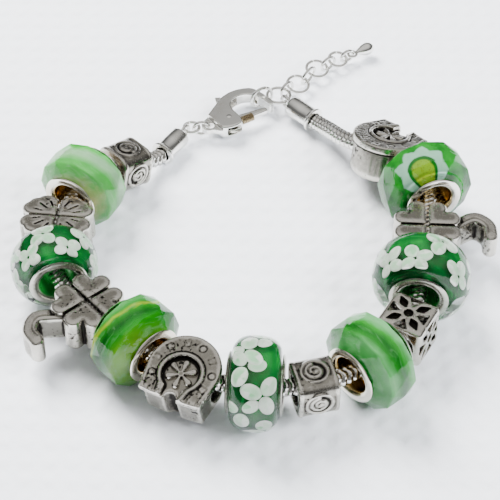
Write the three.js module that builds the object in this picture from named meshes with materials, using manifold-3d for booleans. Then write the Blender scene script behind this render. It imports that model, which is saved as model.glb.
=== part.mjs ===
// Charm bracelet with a snake chain, large-hole glass beads, cast silver charms,
// a lobster clasp and a short extender chain. It lies closed on a surface.
// Millimetres, +Z up. Each bead has its own frame: x along the chain, y towards
// the inside of the loop, z up.
import * as THREE from 'three';
import { mergeVertices } from 'three/addons/utils/BufferGeometryUtils.js';
import { ConvexGeometry } from 'three/addons/geometries/ConvexGeometry.js';
import Module from 'manifold-3d';

const wasm = await Module();
wasm.setup();

const CHAIN_R = 1.4; // snake chain
const CHAIN_END_R = 1.05; // its crimped ends inside the caps
const CHAIN_SIDES = 10;
const RIB_PITCH = 0.9;
const RIB_DEPTH = 0.22;
const PLAIN_STEP = 3;
const CLEAR = 0.3; // gap between neighbouring pieces
const BORE_R = 2.35; // hole through the cast charms
const CORE_R = 2.85; // inside of the silver sleeves
const CORE_WALL = 0.3;
const FLANGE_R = 4.5;
const GLASS_BORE_R = CORE_R + CORE_WALL + 0.4;
const ROUND_SIDES = 12;
const FACETS = 12;
const WIRE_R = 0.3; // jump rings
const LINK_WIRE_R = 0.28;
const WIRE_SIDES = 5;
const RING_SIDES = 12;
const CAP_LENGTH = 5.8;
const CAP_R = 1.8;
const CAP_BORE_R = CHAIN_END_R + CLEAR;
const CAP_DEPTH = 4.3;
const EYE_R = 1.0;
const EYE_AT = CAP_LENGTH + EYE_R + 0.1;
const MOUTH_AT = 3.5; // from each end of the chain to its cap's mouth
const SWIRL_SIZE = 7;
const SWIRL_LENGTH = 6.1;
const STAR_SIZE = 7.4;
const STAR_LENGTH = 6.8;
const STAR_BORE_R = 2.6;
const CHARM_THICK = 5.8;
const CHARM_CORE_THICK = 5.4; // the charms' bodies below their leaves
const LEAF_BLOCK = 7; // side of the leaf charm's drilled block
const SHOE_THICK = 6.8;
const SHOE_BACK = 0.6; // the horseshoe's middle is this far outside the chain
const CLASP_Z = 2.15; // height of the clasp's middle plane
const CLASP_TURN = 40; // degrees, tail to nose
const DROP_EYE_R = 0.75;
const DROP_WIRE_R = 0.25;
const TAIL_HOLE_R = 0.8;
const TAIL_THICK = 1.0;
const CLASP_THICK = 2.6;
const CLASP_TAPER = 1.5; // degrees
const LEVER_THICK = 1.0;
const LEVER_SLOT = 1.6;
const LEVER_PIVOT = [3.5, -0.9];
const PIN_R = 0.45;

// The chain's centre line, hand-chosen, from the left cap round the front to the right cap.
const ROUTE = [
  { name: 'left_end', x: -12.9, y: 27.95, z: 2.25, heading: -122.8 },
  { name: 'left_mouth', x: -14.8, y: 25.0, z: 2.25, heading: -123 },
  { name: 'swirl_1', x: -20.6, y: 19.5, z: 5.2, heading: -136 },
  { name: 'facet_1', x: -26.8, y: 13.1, z: 6.15, heading: -119 },
  { name: 'leaf', x: -30.3, y: 4.3, z: 5.85, heading: -96 },
  { name: 'flower_1', x: -30.0, y: -5.0, z: 6.2, heading: -74 },
  { name: 'clover_1', x: -24.25, y: -13.65, z: 6.0, heading: -50 },
  { name: 'facet_2', x: -16.9, y: -20.1, z: 6.25, heading: -41 },
  { name: 'horseshoe_1', x: -8.9, y: -26.3, z: 6.2, heading: -26 },
  { name: 'flower_2', x: 0.8, y: -28.6, z: 6.5, heading: -5 },
  { name: 'swirl_2', x: 9.2, y: -28.3, z: 6.4, heading: 14 },
  { name: 'facet_3', x: 17.5, y: -24.3, z: 6.5, heading: 37 },
  { name: 'star', x: 23.35, y: -17.4, z: 6.7, heading: 60 },
  { name: 'flower_3', x: 26.0, y: -8.3, z: 7.0, heading: 77 },
  { name: 'clover_2', x: 27.6, y: 1.8, z: 6.4, heading: 87 },
  { name: 'facet_4', x: 28.0, y: 12.55, z: 6.85, heading: 106 },
  { name: 'horseshoe_2', x: 21.5, y: 21.2, z: 6.0, heading: 134 },
  { name: 'bare', x: 14.6, y: 27.8, z: 4.2, heading: 123 },
  { name: 'right_mouth', x: 11.0, y: 33.5, z: 2.25, heading: 133 },
  { name: 'right_end', x: 8.57, y: 36.02, z: 2.25, heading: 134 },
];

// Glass beads: radius at the widest, length between the flanges' faces, and how far each
// one is turned from the chain's heading, in degrees.
const GLASS = [
  { at: 'facet_1', kind: 'facet', radius: 6.6, length: 8.8, turn: 2 },
  { at: 'flower_1', kind: 'flower', radius: 6.7, length: 8.2, turn: -1.5 },
  { at: 'facet_2', kind: 'facet', radius: 6.7, length: 8.8, turn: -5.5 },
  { at: 'flower_2', kind: 'flower', radius: 7.0, length: 8.3, turn: 0 },
  { at: 'facet_3', kind: 'facet', radius: 7.0, length: 8.8, turn: 5 },
  { at: 'flower_3', kind: 'flower', radius: 7.5, length: 9.4, turn: 3.5 },
  { at: 'facet_4', kind: 'facet', radius: 7.2, length: 8.6, turn: 1.5 },
];

const SILVER = { color: 0x97948a, roughness: 0.32, metalness: 1 };
const PLATE = { color: 0xd8d6d0, roughness: 0.18, metalness: 1 };
const FACET_GREEN = { color: 0x5fc46a, roughness: 0.08, metalness: 0 };
const FLOWER_GREEN = { color: 0x1e7d34, roughness: 0.06, metalness: 0 };

const rad = THREE.MathUtils.degToRad;
const bracelet = new THREE.Group();

function signedVolume(positions, triangles) {
  const [a, b, c] = [new THREE.Vector3(), new THREE.Vector3(), new THREE.Vector3()];
  let sum = 0;
  for (let i = 0; i < triangles.length; i += 3) {
    a.fromArray(positions, 3 * triangles[i]);
    b.fromArray(positions, 3 * triangles[i + 1]);
    c.fromArray(positions, 3 * triangles[i + 2]);
    sum += a.dot(b.cross(c));
  }
  return sum / 6;
}

// Positions and triangles of a closed geometry, merged, with the faces pointing out.
function weld(geometry) {
  const bare = geometry.clone();
  for (const name of Object.keys(bare.attributes)) {
    if (name !== 'position') bare.deleteAttribute(name);
  }
  const merged = mergeVertices(bare, 1e-4);
  const positions = merged.attributes.position.array;
  const kept = [];
  const index = merged.index.array;
  for (let i = 0; i < index.length; i += 3) {
    const [a, b, c] = [index[i], index[i + 1], index[i + 2]];
    if (a !== b && b !== c && c !== a) kept.push(a, b, c);
  }
  if (signedVolume(positions, kept) < 0) {
    for (let i = 0; i < kept.length; i += 3) [kept[i], kept[i + 1]] = [kept[i + 1], kept[i]];
  }
  return { positions, triangles: kept };
}

function solid(geometry) {
  const { positions, triangles } = weld(geometry);
  return new wasm.Manifold(new wasm.Mesh({
    numProp: 3,
    vertProperties: new Float32Array(positions),
    triVerts: new Uint32Array(triangles),
  }));
}

function fromPositions(positions, triangles) {
  const geometry = new THREE.BufferGeometry();
  geometry.setAttribute('position', new THREE.BufferAttribute(new Float32Array(positions), 3));
  geometry.setIndex([...triangles]);
  return geometry;
}

function fromSolid(body) {
  const { vertProperties, triVerts, numProp } = body.getMesh();
  const positions = [];
  for (let i = 0; i < vertProperties.length; i += numProp) {
    positions.push(...vertProperties.slice(i, i + 3));
  }
  return fromPositions(positions, triVerts);
}

function outward(geometry) {
  const { positions, triangles } = weld(geometry);
  return fromPositions(positions, triangles);
}

// Joins and then cuts closed geometries into one.
function carve(joined, cuts = []) {
  let body = solid(joined[0]);
  for (const geometry of joined.slice(1)) body = body.add(solid(geometry));
  for (const geometry of cuts) body = body.subtract(solid(geometry));
  return fromSolid(body);
}

// A round form about the x axis from a profile of [x, radius] pairs.
function turned(profile, sides = ROUND_SIDES) {
  const points = profile.map(([x, r]) => new THREE.Vector2(r, x));
  return outward(new THREE.LatheGeometry(points, sides).rotateZ(-Math.PI / 2));
}

function rod(radius, length, sides = ROUND_SIDES) {
  return outward(new THREE.CylinderGeometry(radius, radius, length, sides).rotateZ(-Math.PI / 2));
}

function ring(radius, wire = WIRE_R, sides = RING_SIDES) {
  return new THREE.TorusGeometry(radius, wire, WIRE_SIDES, sides);
}

// An outline in x and y given a thickness about z = 0, with rounded rims of the given bevel.
function slab(shape, thickness, { bevel = 0, segments = 1, curve = 5 } = {}) {
  const points = shape.getPoints(curve)
    .filter((point, i, all) => point.distanceTo(all[(i + 1) % all.length]) > 1e-3);
  const geometry = new THREE.ExtrudeGeometry(new THREE.Shape(points), {
    depth: thickness - 2 * bevel,
    bevelEnabled: bevel > 0,
    bevelThickness: bevel,
    bevelSize: bevel,
    bevelOffset: -bevel,
    bevelSegments: segments,
  });
  return geometry.translate(0, 0, -thickness / 2 + bevel);
}

function outline(points) {
  return new THREE.Shape(points.map(([x, y]) => new THREE.Vector2(x, y)));
}

function addMesh(name, geometry, look, parent = bracelet) {
  const material = new THREE.MeshStandardMaterial(look);
  const mesh = new THREE.Mesh(geometry, material);
  mesh.name = name;
  parent.add(mesh);
  return mesh;
}

// The route as a smooth curve through its rows, each with its own heading.
function routePoint(name) {
  return ROUTE.find((row) => row.name === name);
}

function makeRoute() {
  const points = ROUTE.map((row) => new THREE.Vector3(row.x, row.y, row.z));
  const tangents = ROUTE.map((row, i) => {
    const before = points[Math.max(i - 1, 0)];
    const after = points[Math.min(i + 1, points.length - 1)];
    const run = Math.hypot(after.x - before.x, after.y - before.y);
    const level = /^(facet|flower|left|right)/.test(row.name);
    const slope = level ? 0 : (after.z - before.z) / run;
    return new THREE.Vector3(Math.cos(rad(row.heading)), Math.sin(rad(row.heading)), slope);
  });
  const path = new THREE.CurvePath();
  for (let i = 1; i < points.length; i += 1) {
    const reach = 0.36 * points[i].distanceTo(points[i - 1]);
    path.add(new THREE.CubicBezierCurve3(
      points[i - 1],
      points[i - 1].clone().addScaledVector(tangents[i - 1], reach),
      points[i].clone().addScaledVector(tangents[i], -reach),
      points[i],
    ));
  }
  return { path, tangents };
}

const route = makeRoute();

// A group standing at a route point. drop lowers it below the chain, turn and roll are degrees.
function station(name, { drop = 0, turn = 0, roll = 0 } = {}) {
  const row = routePoint(name);
  const tangent = route.tangents[ROUTE.indexOf(row)];
  const group = new THREE.Group();
  group.rotation.set(rad(roll), -Math.atan(tangent.z), rad(row.heading + turn), 'ZYX');
  group.position.set(row.x, row.y, row.z - drop);
  bracelet.add(group);
  return group;
}

// Snake chain: a straight turned form bent along the route, ribbed where it lies bare.
function makeChain() {
  const length = route.path.getLength();
  const start = MOUTH_AT + CLEAR + 0.2;
  const bare = [[start, 8], [length - 14.4, length - start]];
  const profile = [[0, 0], [0, CHAIN_END_R], [MOUTH_AT + CLEAR, CHAIN_END_R]];
  let s = start;
  while (s < length - start - RIB_PITCH / 2) {
    const ribbed = bare.some(([from, to]) => s >= from && s < to);
    profile.push([s, CHAIN_R]);
    if (ribbed) profile.push([s + RIB_PITCH / 2, CHAIN_R - RIB_DEPTH]);
    s += ribbed ? RIB_PITCH : PLAIN_STEP;
  }
  profile.push([length - start, CHAIN_R], [length - MOUTH_AT - CLEAR, CHAIN_END_R]);
  profile.push([length, CHAIN_END_R], [length, 0]);
  const straight = turned(profile, CHAIN_SIDES);
  const at = straight.attributes.position;
  const up = new THREE.Vector3(0, 0, 1);
  for (let i = 0; i < at.count; i += 1) {
    const u = THREE.MathUtils.clamp(at.getX(i) / length, 0, 1);
    const forward = route.path.getTangentAt(u);
    const side = up.clone().cross(forward).normalize();
    const above = forward.clone().cross(side);
    const point = route.path.getPointAt(u)
      .addScaledVector(side, at.getY(i))
      .addScaledVector(above, at.getZ(i));
    at.setXYZ(i, point.x, point.y, point.z);
  }
  return outward(straight);
}

// Faceted glass: a ring of flat diamonds round the widest part, one of them down, and
// kites to a small round end face on each side.
function makeFacetGlass(radius, length) {
  const step = (2 * Math.PI) / FACETS;
  const widest = radius / Math.cos(step / 2);
  const halfDiamond = 2.3;
  const halfGlass = length / 2 - 0.6;
  const points = [];
  for (let i = 0; i < FACETS; i += 1) {
    const angle = i * step + step / 2;
    const ringPoint = (x, r, a) => points.push(new THREE.Vector3(x, r * Math.cos(a), r * Math.sin(a)));
    ringPoint(0, widest, angle);
    for (const side of [-1, 1]) {
      ringPoint(side * halfDiamond, radius, angle + step / 2);
      ringPoint(side * halfGlass, FLANGE_R - 0.1, angle);
    }
  }
  return carve([new ConvexGeometry(points)], [rod(GLASS_BORE_R, length * 2, FACETS)]);
}

// Round glass with flowers: a full barrel with flat ends.
function makeFlowerGlass(radius, length) {
  const half = length / 2 - 0.6;
  const edge = FLANGE_R + 0.2;
  const belly = [-1, -0.86, -0.6, -0.25, 0.25, 0.6, 0.86, 1].map((t) => [
    t * half, edge + (radius - edge) * Math.sqrt(1 - Math.abs(t) ** 2.6),
  ]);
  return turned([[-half, GLASS_BORE_R], ...belly, [half, GLASS_BORE_R], [-half, GLASS_BORE_R]], 16);
}

// Silver sleeve lining a glass bead: a tube with a rolled flange at each end and a
// throat that opens within the flange, where the tube's wall is clear of it.
function makeCore(length) {
  const half = length / 2;
  const outer = CORE_R + CORE_WALL;
  const right = [
    [half - 0.25, CORE_R], [half, 3.6], [half - 0.1, FLANGE_R],
    [half - 0.3, FLANGE_R - 0.1], [half - 0.3, outer],
  ];
  const left = right.map(([x, r]) => [-x, r]).reverse();
  return turned([...right, ...left, right[0]]);
}

function makeGlass() {
  const count = { facet: 0, flower: 0 };
  GLASS.forEach((row, i) => {
    count[row.kind] += 1;
    const chainZ = routePoint(row.at).z;
    const group = station(row.at, { drop: chainZ - row.radius, turn: row.turn });
    const make = row.kind === 'facet' ? makeFacetGlass : makeFlowerGlass;
    const look = row.kind === 'facet' ? FACET_GREEN : FLOWER_GREEN;
    addMesh(`${row.kind}_glass_${count[row.kind]}`, make(row.radius, row.length), look, group);
    addMesh(`core_${i + 1}`, makeCore(row.length), row.kind === 'facet' ? PLATE : SILVER, group);
  });
}

// A flat spiral ridge of one and a half turns, as an outline.
function spiralOutline(outerR, width, turns) {
  const steps = 15;
  const edge = (offset) => Array.from({ length: steps + 1 }, (_, i) => {
    const share = i / steps;
    const r = outerR * (1 - 0.75 * share) + offset;
    const a = share * turns * 2 * Math.PI + Math.PI / 2;
    return [r * Math.cos(a), r * Math.sin(a)];
  });
  return outline([...edge(0), ...edge(-width).reverse()]);
}

// Square bead with rounded edges, a groove at each end and a raised spiral on four faces.
function makeSwirl() {
  const half = SWIRL_SIZE / 2;
  const round = 1.6;
  const square = new THREE.Shape();
  square.moveTo(half - round, -half);
  for (const [cx, cy, from] of [[1, -1, -90], [1, 1, 0], [-1, 1, 90], [-1, -1, 180]]) {
    square.absarc(cx * (half - round), cy * (half - round), round, rad(from), rad(from + 90), false);
  }
  const block = slab(square, SWIRL_LENGTH, { bevel: 0.5, curve: 3 }).rotateY(Math.PI / 2);
  const spirals = [0, 1, 2, 3].map((side) => slab(spiralOutline(2.3, 0.55, 1.5), 0.7)
    .translate(0, 0, half).rotateX((side * Math.PI) / 2));
  return carve([block, ...spirals], [rod(BORE_R, SWIRL_LENGTH * 2)]);
}

// One leaf of the leaf charm, along +x from the charm's middle.
function makeLeaf(reach, width) {
  const blade = new THREE.Shape();
  blade.moveTo(0.1, 0);
  blade.quadraticCurveTo(reach * 0.35, width * 0.75, reach * 0.8, width * 0.62);
  blade.quadraticCurveTo(reach * 1.08, width * 0.3, reach, -width * 0.1);
  blade.quadraticCurveTo(reach * 0.95, -width * 0.6, reach * 0.7, -width * 0.68);
  blade.quadraticCurveTo(reach * 0.35, -width * 0.7, 0.1, 0);
  return slab(blade, CHARM_THICK, { bevel: 0.5, curve: 3 });
}

function veinCut(distance, angle, length) {
  return new THREE.BoxGeometry(length, 0.22, 0.6).translate(distance, 0, CHARM_THICK / 2).rotateZ(angle);
}

// Four broad leaves in a square over a drilled block.
function makeLeafCharm() {
  const leaves = [];
  const veins = [];
  for (let i = 0; i < 4; i += 1) {
    const angle = rad(45 + 90 * i);
    leaves.push(makeLeaf(5.6, 3.8).rotateZ(angle).scale(0.84, 1.08, 1));
    for (const fan of [-22, 0, 22]) veins.push(veinCut(3.2, angle + rad(fan), 1.5));
  }
  const half = LEAF_BLOCK / 2;
  const square = outline([[-half, -half], [half, -half], [half, half], [-half, half]]);
  const block = slab(square, CHARM_CORE_THICK, { bevel: 0.5 });
  return carve([block, ...leaves], [...veins, rod(BORE_R, 20)]);
}

function heart() {
  const shape = new THREE.Shape();
  shape.moveTo(0.3, 0);
  shape.lineTo(2.6, -2.4);
  shape.absarc(3.75, -1.45, 1.5, rad(-140), rad(60), false);
  shape.absarc(3.75, 1.45, 1.5, rad(-60), rad(140), false);
  return shape;
}

// Four-leaf clover with a curled stem. hand 1 curls the stem one way, -1 the other.
function makeClover(hand) {
  const leaves = [0, 1, 2, 3].map((i) => slab(heart(), CHARM_THICK, { bevel: 0.6, curve: 4 })
    .rotateZ(rad(45 + 90 * i)));
  const round = new THREE.Shape().absarc(0, 0, 3.3, 0, 2 * Math.PI);
  const hub = slab(round, CHARM_CORE_THICK, { curve: 12 });
  const stemLine = [[0.6, -2.6], [-1.6, -5.2], [-2.9, -7.6], [-1.4, -9.6], [0.9, -9.9]];
  const stemPoints = stemLine.map(([x, y]) => new THREE.Vector3(x * hand, y, -0.3));
  const path = new THREE.CatmullRomCurve3(stemPoints);
  const section = outline([[-2.3, -0.8], [2.3, -0.8], [2.5, 0], [2.3, 0.8], [-2.3, 0.8]]);
  const stem = new THREE.ExtrudeGeometry(section, { extrudePath: path, steps: 8 });
  return carve([hub, ...leaves, stem], [rod(BORE_R, 20)]);
}

// Horseshoe outline between an outer and an inner line, open towards -y.
function shoe(outerR, foot, footY) {
  const shape = new THREE.Shape();
  shape.absarc(0, 0, outerR, rad(-12), rad(192), false);
  shape.lineTo(-foot - 0.5, footY + 0.2);
  shape.lineTo(-foot + 1.8, footY);
  shape.lineTo(foot - 1.8, footY);
  shape.lineTo(foot + 0.5, footY + 0.2);
  return shape;
}

// Horseshoe charm: a thick drilled body, raised rims and a six-petal rosette in its middle.
function makeHorseshoe() {
  const top = SHOE_THICK / 2;
  const body = slab(shoe(5.5, 4.4, -5.2), SHOE_THICK, { bevel: 0.4, curve: 12 });
  const hollow = new THREE.Shape().absarc(0, -0.9, 2.8, rad(-60), rad(240), false);
  hollow.lineTo(-0.9, -6).lineTo(0.9, -6);
  const band = new THREE.Shape().absarc(0, -0.2, 4.9, rad(-15), rad(195), false);
  band.lineTo(-3.9, -4.5).lineTo(-2.5, -4.6).absarc(0, -0.9, 3.4, rad(225), rad(-45), true);
  band.lineTo(2.5, -4.6).lineTo(3.9, -4.5);
  const rosette = [0, 1, 2, 3, 4, 5].map((i) => {
    const petal = new THREE.Shape().absellipse(1.5, 0, 1.05, 0.5, 0, 2 * Math.PI);
    return slab(petal, 1.0, { curve: 8 }).rotateZ(rad(30 + 60 * i)).translate(0, -0.9, top - 0.6);
  });
  const sunk = carve([body], [
    slab(hollow, 1.4, { curve: 10 }).translate(0, 0, top),
    slab(band, 0.5, { curve: 10 }).translate(0, 0, top),
  ]);
  const shaped = carve([sunk, ...rosette], [rod(BORE_R, 20).translate(0, SHOE_BACK, 0)]);
  return shaped.translate(0, -SHOE_BACK, 0);
}

// Hollow square bead, pierced on four faces between the rays of a four-petal star.
function makeStar() {
  const half = STAR_SIZE / 2;
  const corner = 0.9;
  const square = outline([
    [half - corner, -half], [half, corner - half], [half, half - corner], [half - corner, half],
    [corner - half, half], [-half, half - corner], [-half, corner - half], [corner - half, -half],
  ]);
  const tube = slab(square, STAR_LENGTH, { bevel: 0.3 }).rotateY(Math.PI / 2);
  const cuts = [rod(STAR_BORE_R, STAR_SIZE * 2, 12)];
  const gap = outline([[1.25, 0], [2.75, -0.85], [2.75, 0.85]]);
  const petal = outline([[0.75, 0], [1.5, -0.5], [2.9, 0], [1.5, 0.5]]);
  for (let face = 0; face < 4; face += 1) {
    for (let i = 0; i < 4; i += 1) {
      const reach = slab(gap, 3).rotateZ(rad(90 * i)).translate(0, 0, half);
      const dent = slab(petal, 0.9).rotateZ(rad(45 + 90 * i)).translate(0, 0, half);
      cuts.push(reach.rotateX(rad(90 * face)), dent.rotateX(rad(90 * face)));
    }
  }
  return carve([tube], cuts);
}

// End cap, its mouth at x = 0 and its closed end with an eye towards +x.
function makeCap() {
  const cup = turned([
    [0, CAP_BORE_R], [0, CAP_R + 0.1], [0.25, CAP_R + 0.35], [0.6, CAP_R + 0.1], [0.8, CAP_R],
    [CAP_LENGTH - 0.6, CAP_R], [CAP_LENGTH, CAP_R - 0.7], [CAP_LENGTH, 0], [CAP_DEPTH, 0],
    [CAP_DEPTH, CAP_BORE_R], [0, CAP_BORE_R],
  ]);
  const eye = ring(EYE_R).rotateX(Math.PI / 2).translate(EYE_AT, 0, 0);
  return carve([cup, eye]);
}

function addCap(name, mouthName, endName) {
  const mouth = routePoint(mouthName);
  const end = routePoint(endName);
  const group = new THREE.Group();
  group.position.set(mouth.x, mouth.y, mouth.z);
  group.rotation.z = Math.atan2(end.y - mouth.y, end.x - mouth.x);
  bracelet.add(group);
  addMesh(name, makeCap(), PLATE, group);
  return new THREE.Vector3(EYE_AT, 0, 0)
    .applyAxisAngle(new THREE.Vector3(0, 0, 1), group.rotation.z).add(group.position);
}

// A place a step further on in the plane of the surface, at a heading in degrees.
function onward(from, step, heading) {
  const [dx, dy] = [Math.cos(rad(heading)) * step, Math.sin(rad(heading)) * step];
  return from.clone().add(new THREE.Vector3(dx, dy, 0));
}

// A round link, its own x axis at the given heading and rolled about it, in degrees.
function addLink(name, radius, wire, centre, heading, roll) {
  const mesh = addMesh(name, ring(radius, wire), PLATE);
  mesh.rotation.set(rad(roll), 0, rad(heading), 'ZYX');
  mesh.position.copy(centre);
}

// Distance between the centres of two interlocked round links that hang apart by a small gap.
function pitch(radiusA, wireA, radiusB, wireB) {
  return radiusA + radiusB - wireA - wireB - CLEAR;
}

// Claw of the lobster clasp in its own frame: tail eye at the origin, nose towards +x.
function makeClasp() {
  const claw = new THREE.Shape();
  claw.moveTo(-1.4, 0);
  claw.quadraticCurveTo(-1.2, 1.5, 0.6, 1.7);
  claw.lineTo(5.6, 3.9);
  claw.quadraticCurveTo(9.3, 4.6, 11.4, 2.5);
  claw.quadraticCurveTo(12.25, 0.6, 11.95, -2.9);
  claw.lineTo(11.0, -3.0);
  claw.quadraticCurveTo(11.2, -0.6, 10.5, 0.8);
  claw.quadraticCurveTo(9.3, 2.7, 6.9, 2.2);
  claw.quadraticCurveTo(5.3, 1.6, 5.2, -0.6);
  claw.quadraticCurveTo(5.2, -3.2, 4.0, -3.5);
  claw.quadraticCurveTo(1.2, -3.6, -0.2, -1.2);
  claw.quadraticCurveTo(-1.2, -1.1, -1.4, 0);
  const body = slab(claw, CLASP_THICK, { bevel: 0.35, curve: 4 });
  // The lever's slot stops short of the nose.
  const slot = new THREE.BoxGeometry(8.6, 12, LEVER_SLOT).translate(5.9, 0, 0);
  const nose = slab(outline([[7.9, 6], [14, 6], [14, -6], [7.9, -2]]), LEVER_SLOT + 0.6);
  const slotted = fromSolid(solid(body).subtract(solid(slot).subtract(solid(nose))));
  const tailHole = new THREE.CylinderGeometry(TAIL_HOLE_R, TAIL_HOLE_R, 6, 10).rotateX(Math.PI / 2);
  // Above and below, the tail is cut thin and the claw tapers towards the nose.
  const thinned = [1, -1].flatMap((side) => {
    const tail = new THREE.BoxGeometry(2.8, 6, 2).translate(-0.4, 0, side * (1 + TAIL_THICK / 2));
    const taper = new THREE.BoxGeometry(14, 16, 2).translate(7, 0, side * (1 + CLASP_THICK / 2));
    return [tail, taper.rotateY(side * rad(CLASP_TAPER))];
  });
  const pin = new THREE.CylinderGeometry(PIN_R, PIN_R, CLASP_THICK - 0.4, 8).rotateX(Math.PI / 2)
    .translate(...LEVER_PIVOT, 0);
  return carve([slotted, pin], [tailHole, ...thinned]);
}

// Sprung lever: thumb tab on the back, hub on the pin, gate arm across the claw's mouth.
function makeLever() {
  const [px, py] = LEVER_PIVOT;
  const plan = new THREE.Shape();
  plan.moveTo(px + 0.2, py - 1.4);
  plan.lineTo(10.2, -3.3);
  plan.lineTo(10.4, -2.4);
  plan.lineTo(px + 1.5, py + 0.1);
  plan.lineTo(px + 2.6, 4.6);
  plan.lineTo(px + 1.7, 5.2);
  plan.lineTo(px - 0.6, py + 1.3);
  plan.quadraticCurveTo(px - 1.6, py, px + 0.2, py - 1.4);
  const hole = new THREE.CylinderGeometry(PIN_R + CLEAR, PIN_R + CLEAR, 4, 10).rotateX(Math.PI / 2)
    .translate(px, py, 0);
  return carve([slab(plan, LEVER_THICK, { bevel: 0.15, curve: 3 })], [hole]);
}

// Teardrop at the end of the extender, with its eye at the origin and its tip towards +x.
function makeDrop() {
  const drop = turned([
    [0.7, 0], [0.75, 0.3], [1.8, 0.8], [2.8, 1.15], [3.7, 1.0], [4.3, 0.55], [4.5, 0],
  ], 12);
  return carve([drop, ring(DROP_EYE_R, DROP_WIRE_R)]);
}

addMesh('snake_chain', makeChain(), PLATE);
makeGlass();
addMesh('swirl_bead_1', makeSwirl(), SILVER, station('swirl_1', { drop: 0.35 }));
addMesh('swirl_bead_2', makeSwirl(), SILVER, station('swirl_2', { drop: 0.35 }));
addMesh('leaf_charm', makeLeafCharm(), SILVER, station('leaf', { drop: 0.15 }));
addMesh('clover_charm_1', makeClover(1), SILVER, station('clover_1', { drop: 0.2 }));
addMesh('clover_charm_2', makeClover(-1), SILVER, station('clover_2', { drop: 0.2 }));
const shoeStation1 = station('horseshoe_1', { drop: 0.2, roll: 12 });
addMesh('horseshoe_charm_1', makeHorseshoe(), SILVER, shoeStation1);
const shoeStation2 = station('horseshoe_2', { drop: 0.25, roll: 18 });
addMesh('horseshoe_charm_2', makeHorseshoe(), SILVER, shoeStation2);
addMesh('star_bead', makeStar(), SILVER, station('star', { drop: 0.5 }));

// Left cap, two rings and the clasp, each link a pitch on from the last.
const LEFT_RING_R = 1.3;
const leftEye = addCap('end_cap_left', 'left_mouth', 'left_end');
const leftFlat = onward(leftEye, pitch(EYE_R, WIRE_R, LEFT_RING_R, WIRE_R), 40);
addLink('ring_left_flat', LEFT_RING_R, WIRE_R, leftFlat, 40, 0);
const leftUpright = onward(leftFlat, pitch(LEFT_RING_R, WIRE_R, LEFT_RING_R, WIRE_R), -2).setZ(CLASP_Z);
addLink('ring_left_upright', LEFT_RING_R, WIRE_R, leftUpright, 6, 90);

const clasp = new THREE.Group();
clasp.position.copy(onward(leftUpright, LEFT_RING_R + 0.15, 8));
clasp.rotation.z = rad(CLASP_TURN);
bracelet.add(clasp);
clasp.updateMatrixWorld(true);
addMesh('clasp_body', makeClasp(), PLATE, clasp);
addMesh('clasp_lever', makeLever(), PLATE, clasp);

// Right cap, the ring in the claw and the ring that joins it to the cap's eye.
const NOSE_RING_R = 2.0;
const RIGHT_RING_R = 2.0;
const rightEye = addCap('end_cap_right', 'right_mouth', 'right_end');
const inNose = clasp.localToWorld(new THREE.Vector3(11.75, 0.15, 0.15));
addLink('ring_right_upright', NOSE_RING_R, LINK_WIRE_R, inNose, CLASP_TURN - 12, 90);
const rightFlat = onward(rightEye, pitch(EYE_R, WIRE_R, RIGHT_RING_R, WIRE_R), 126).setZ(CLASP_Z);
addLink('ring_right_flat', RIGHT_RING_R, WIRE_R, rightFlat, 0, 0);

// Extender: round links, standing and lying by turns, each a pitch on from the last.
const EXTENDER = [
  { radius: 1.4, heading: 54, roll: 90 },
  { radius: 1.9, heading: 36, roll: 12 },
  { radius: 1.7, heading: 47, roll: 100 },
  { radius: 1.9, heading: 54, roll: 10 },
  { radius: 1.4, heading: 35, roll: 96 },
  { radius: 1.6, heading: 35, roll: 12 },
  { radius: 1.2, heading: 28, roll: 95 },
];
const EXTENDER_Z = 1.75;
let place = rightFlat.clone().setZ(EXTENDER_Z);
let [radiusBefore, wireBefore] = [RIGHT_RING_R, WIRE_R];
EXTENDER.forEach(({ radius, heading, roll }, i) => {
  place = onward(place, pitch(radiusBefore, wireBefore, radius, LINK_WIRE_R), heading);
  const lift = Math.max(0, radius + LINK_WIRE_R + 0.05 - EXTENDER_Z) * (roll > 45 ? 1 : 0);
  const facing = (heading + (EXTENDER[i + 1]?.heading ?? heading)) / 2;
  const centre = place.clone().setZ(EXTENDER_Z + lift);
  addLink(`extender_link_${i + 1}`, radius, LINK_WIRE_R, centre, facing, roll);
  [radiusBefore, wireBefore] = [radius, LINK_WIRE_R];
});
const dropHeading = 30;
place = onward(place, pitch(radiusBefore, wireBefore, DROP_EYE_R, DROP_WIRE_R), dropHeading);
const drop = addMesh('drop', makeDrop(), PLATE);
drop.position.copy(place);
drop.rotation.z = rad(dropHeading);

// The origin is under the middle of the bracelet, on the surface it lies on.
const box = new THREE.Box3().setFromObject(bracelet, true);
bracelet.position.set(-(box.min.x + box.max.x) / 2, -(box.min.y + box.max.y) / 2, -box.min.z);

export default bracelet;
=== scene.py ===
"""Visual model of a closed charm bracelet: snake chain, large-hole glass beads, cast charms,
end caps, lobster clasp, rings and a short extender chain with a drop.

Sizes are millimetres in each piece's own frame and become metres when a piece is finished.
A bead's frame has x along the chain, y towards the inside of the loop and z up.
"""

import logging
import math
from dataclasses import dataclass, field
from enum import Enum
from typing import Any, Sequence

import bmesh
import bpy
import numpy as np
from mathutils import Matrix, Vector


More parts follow.
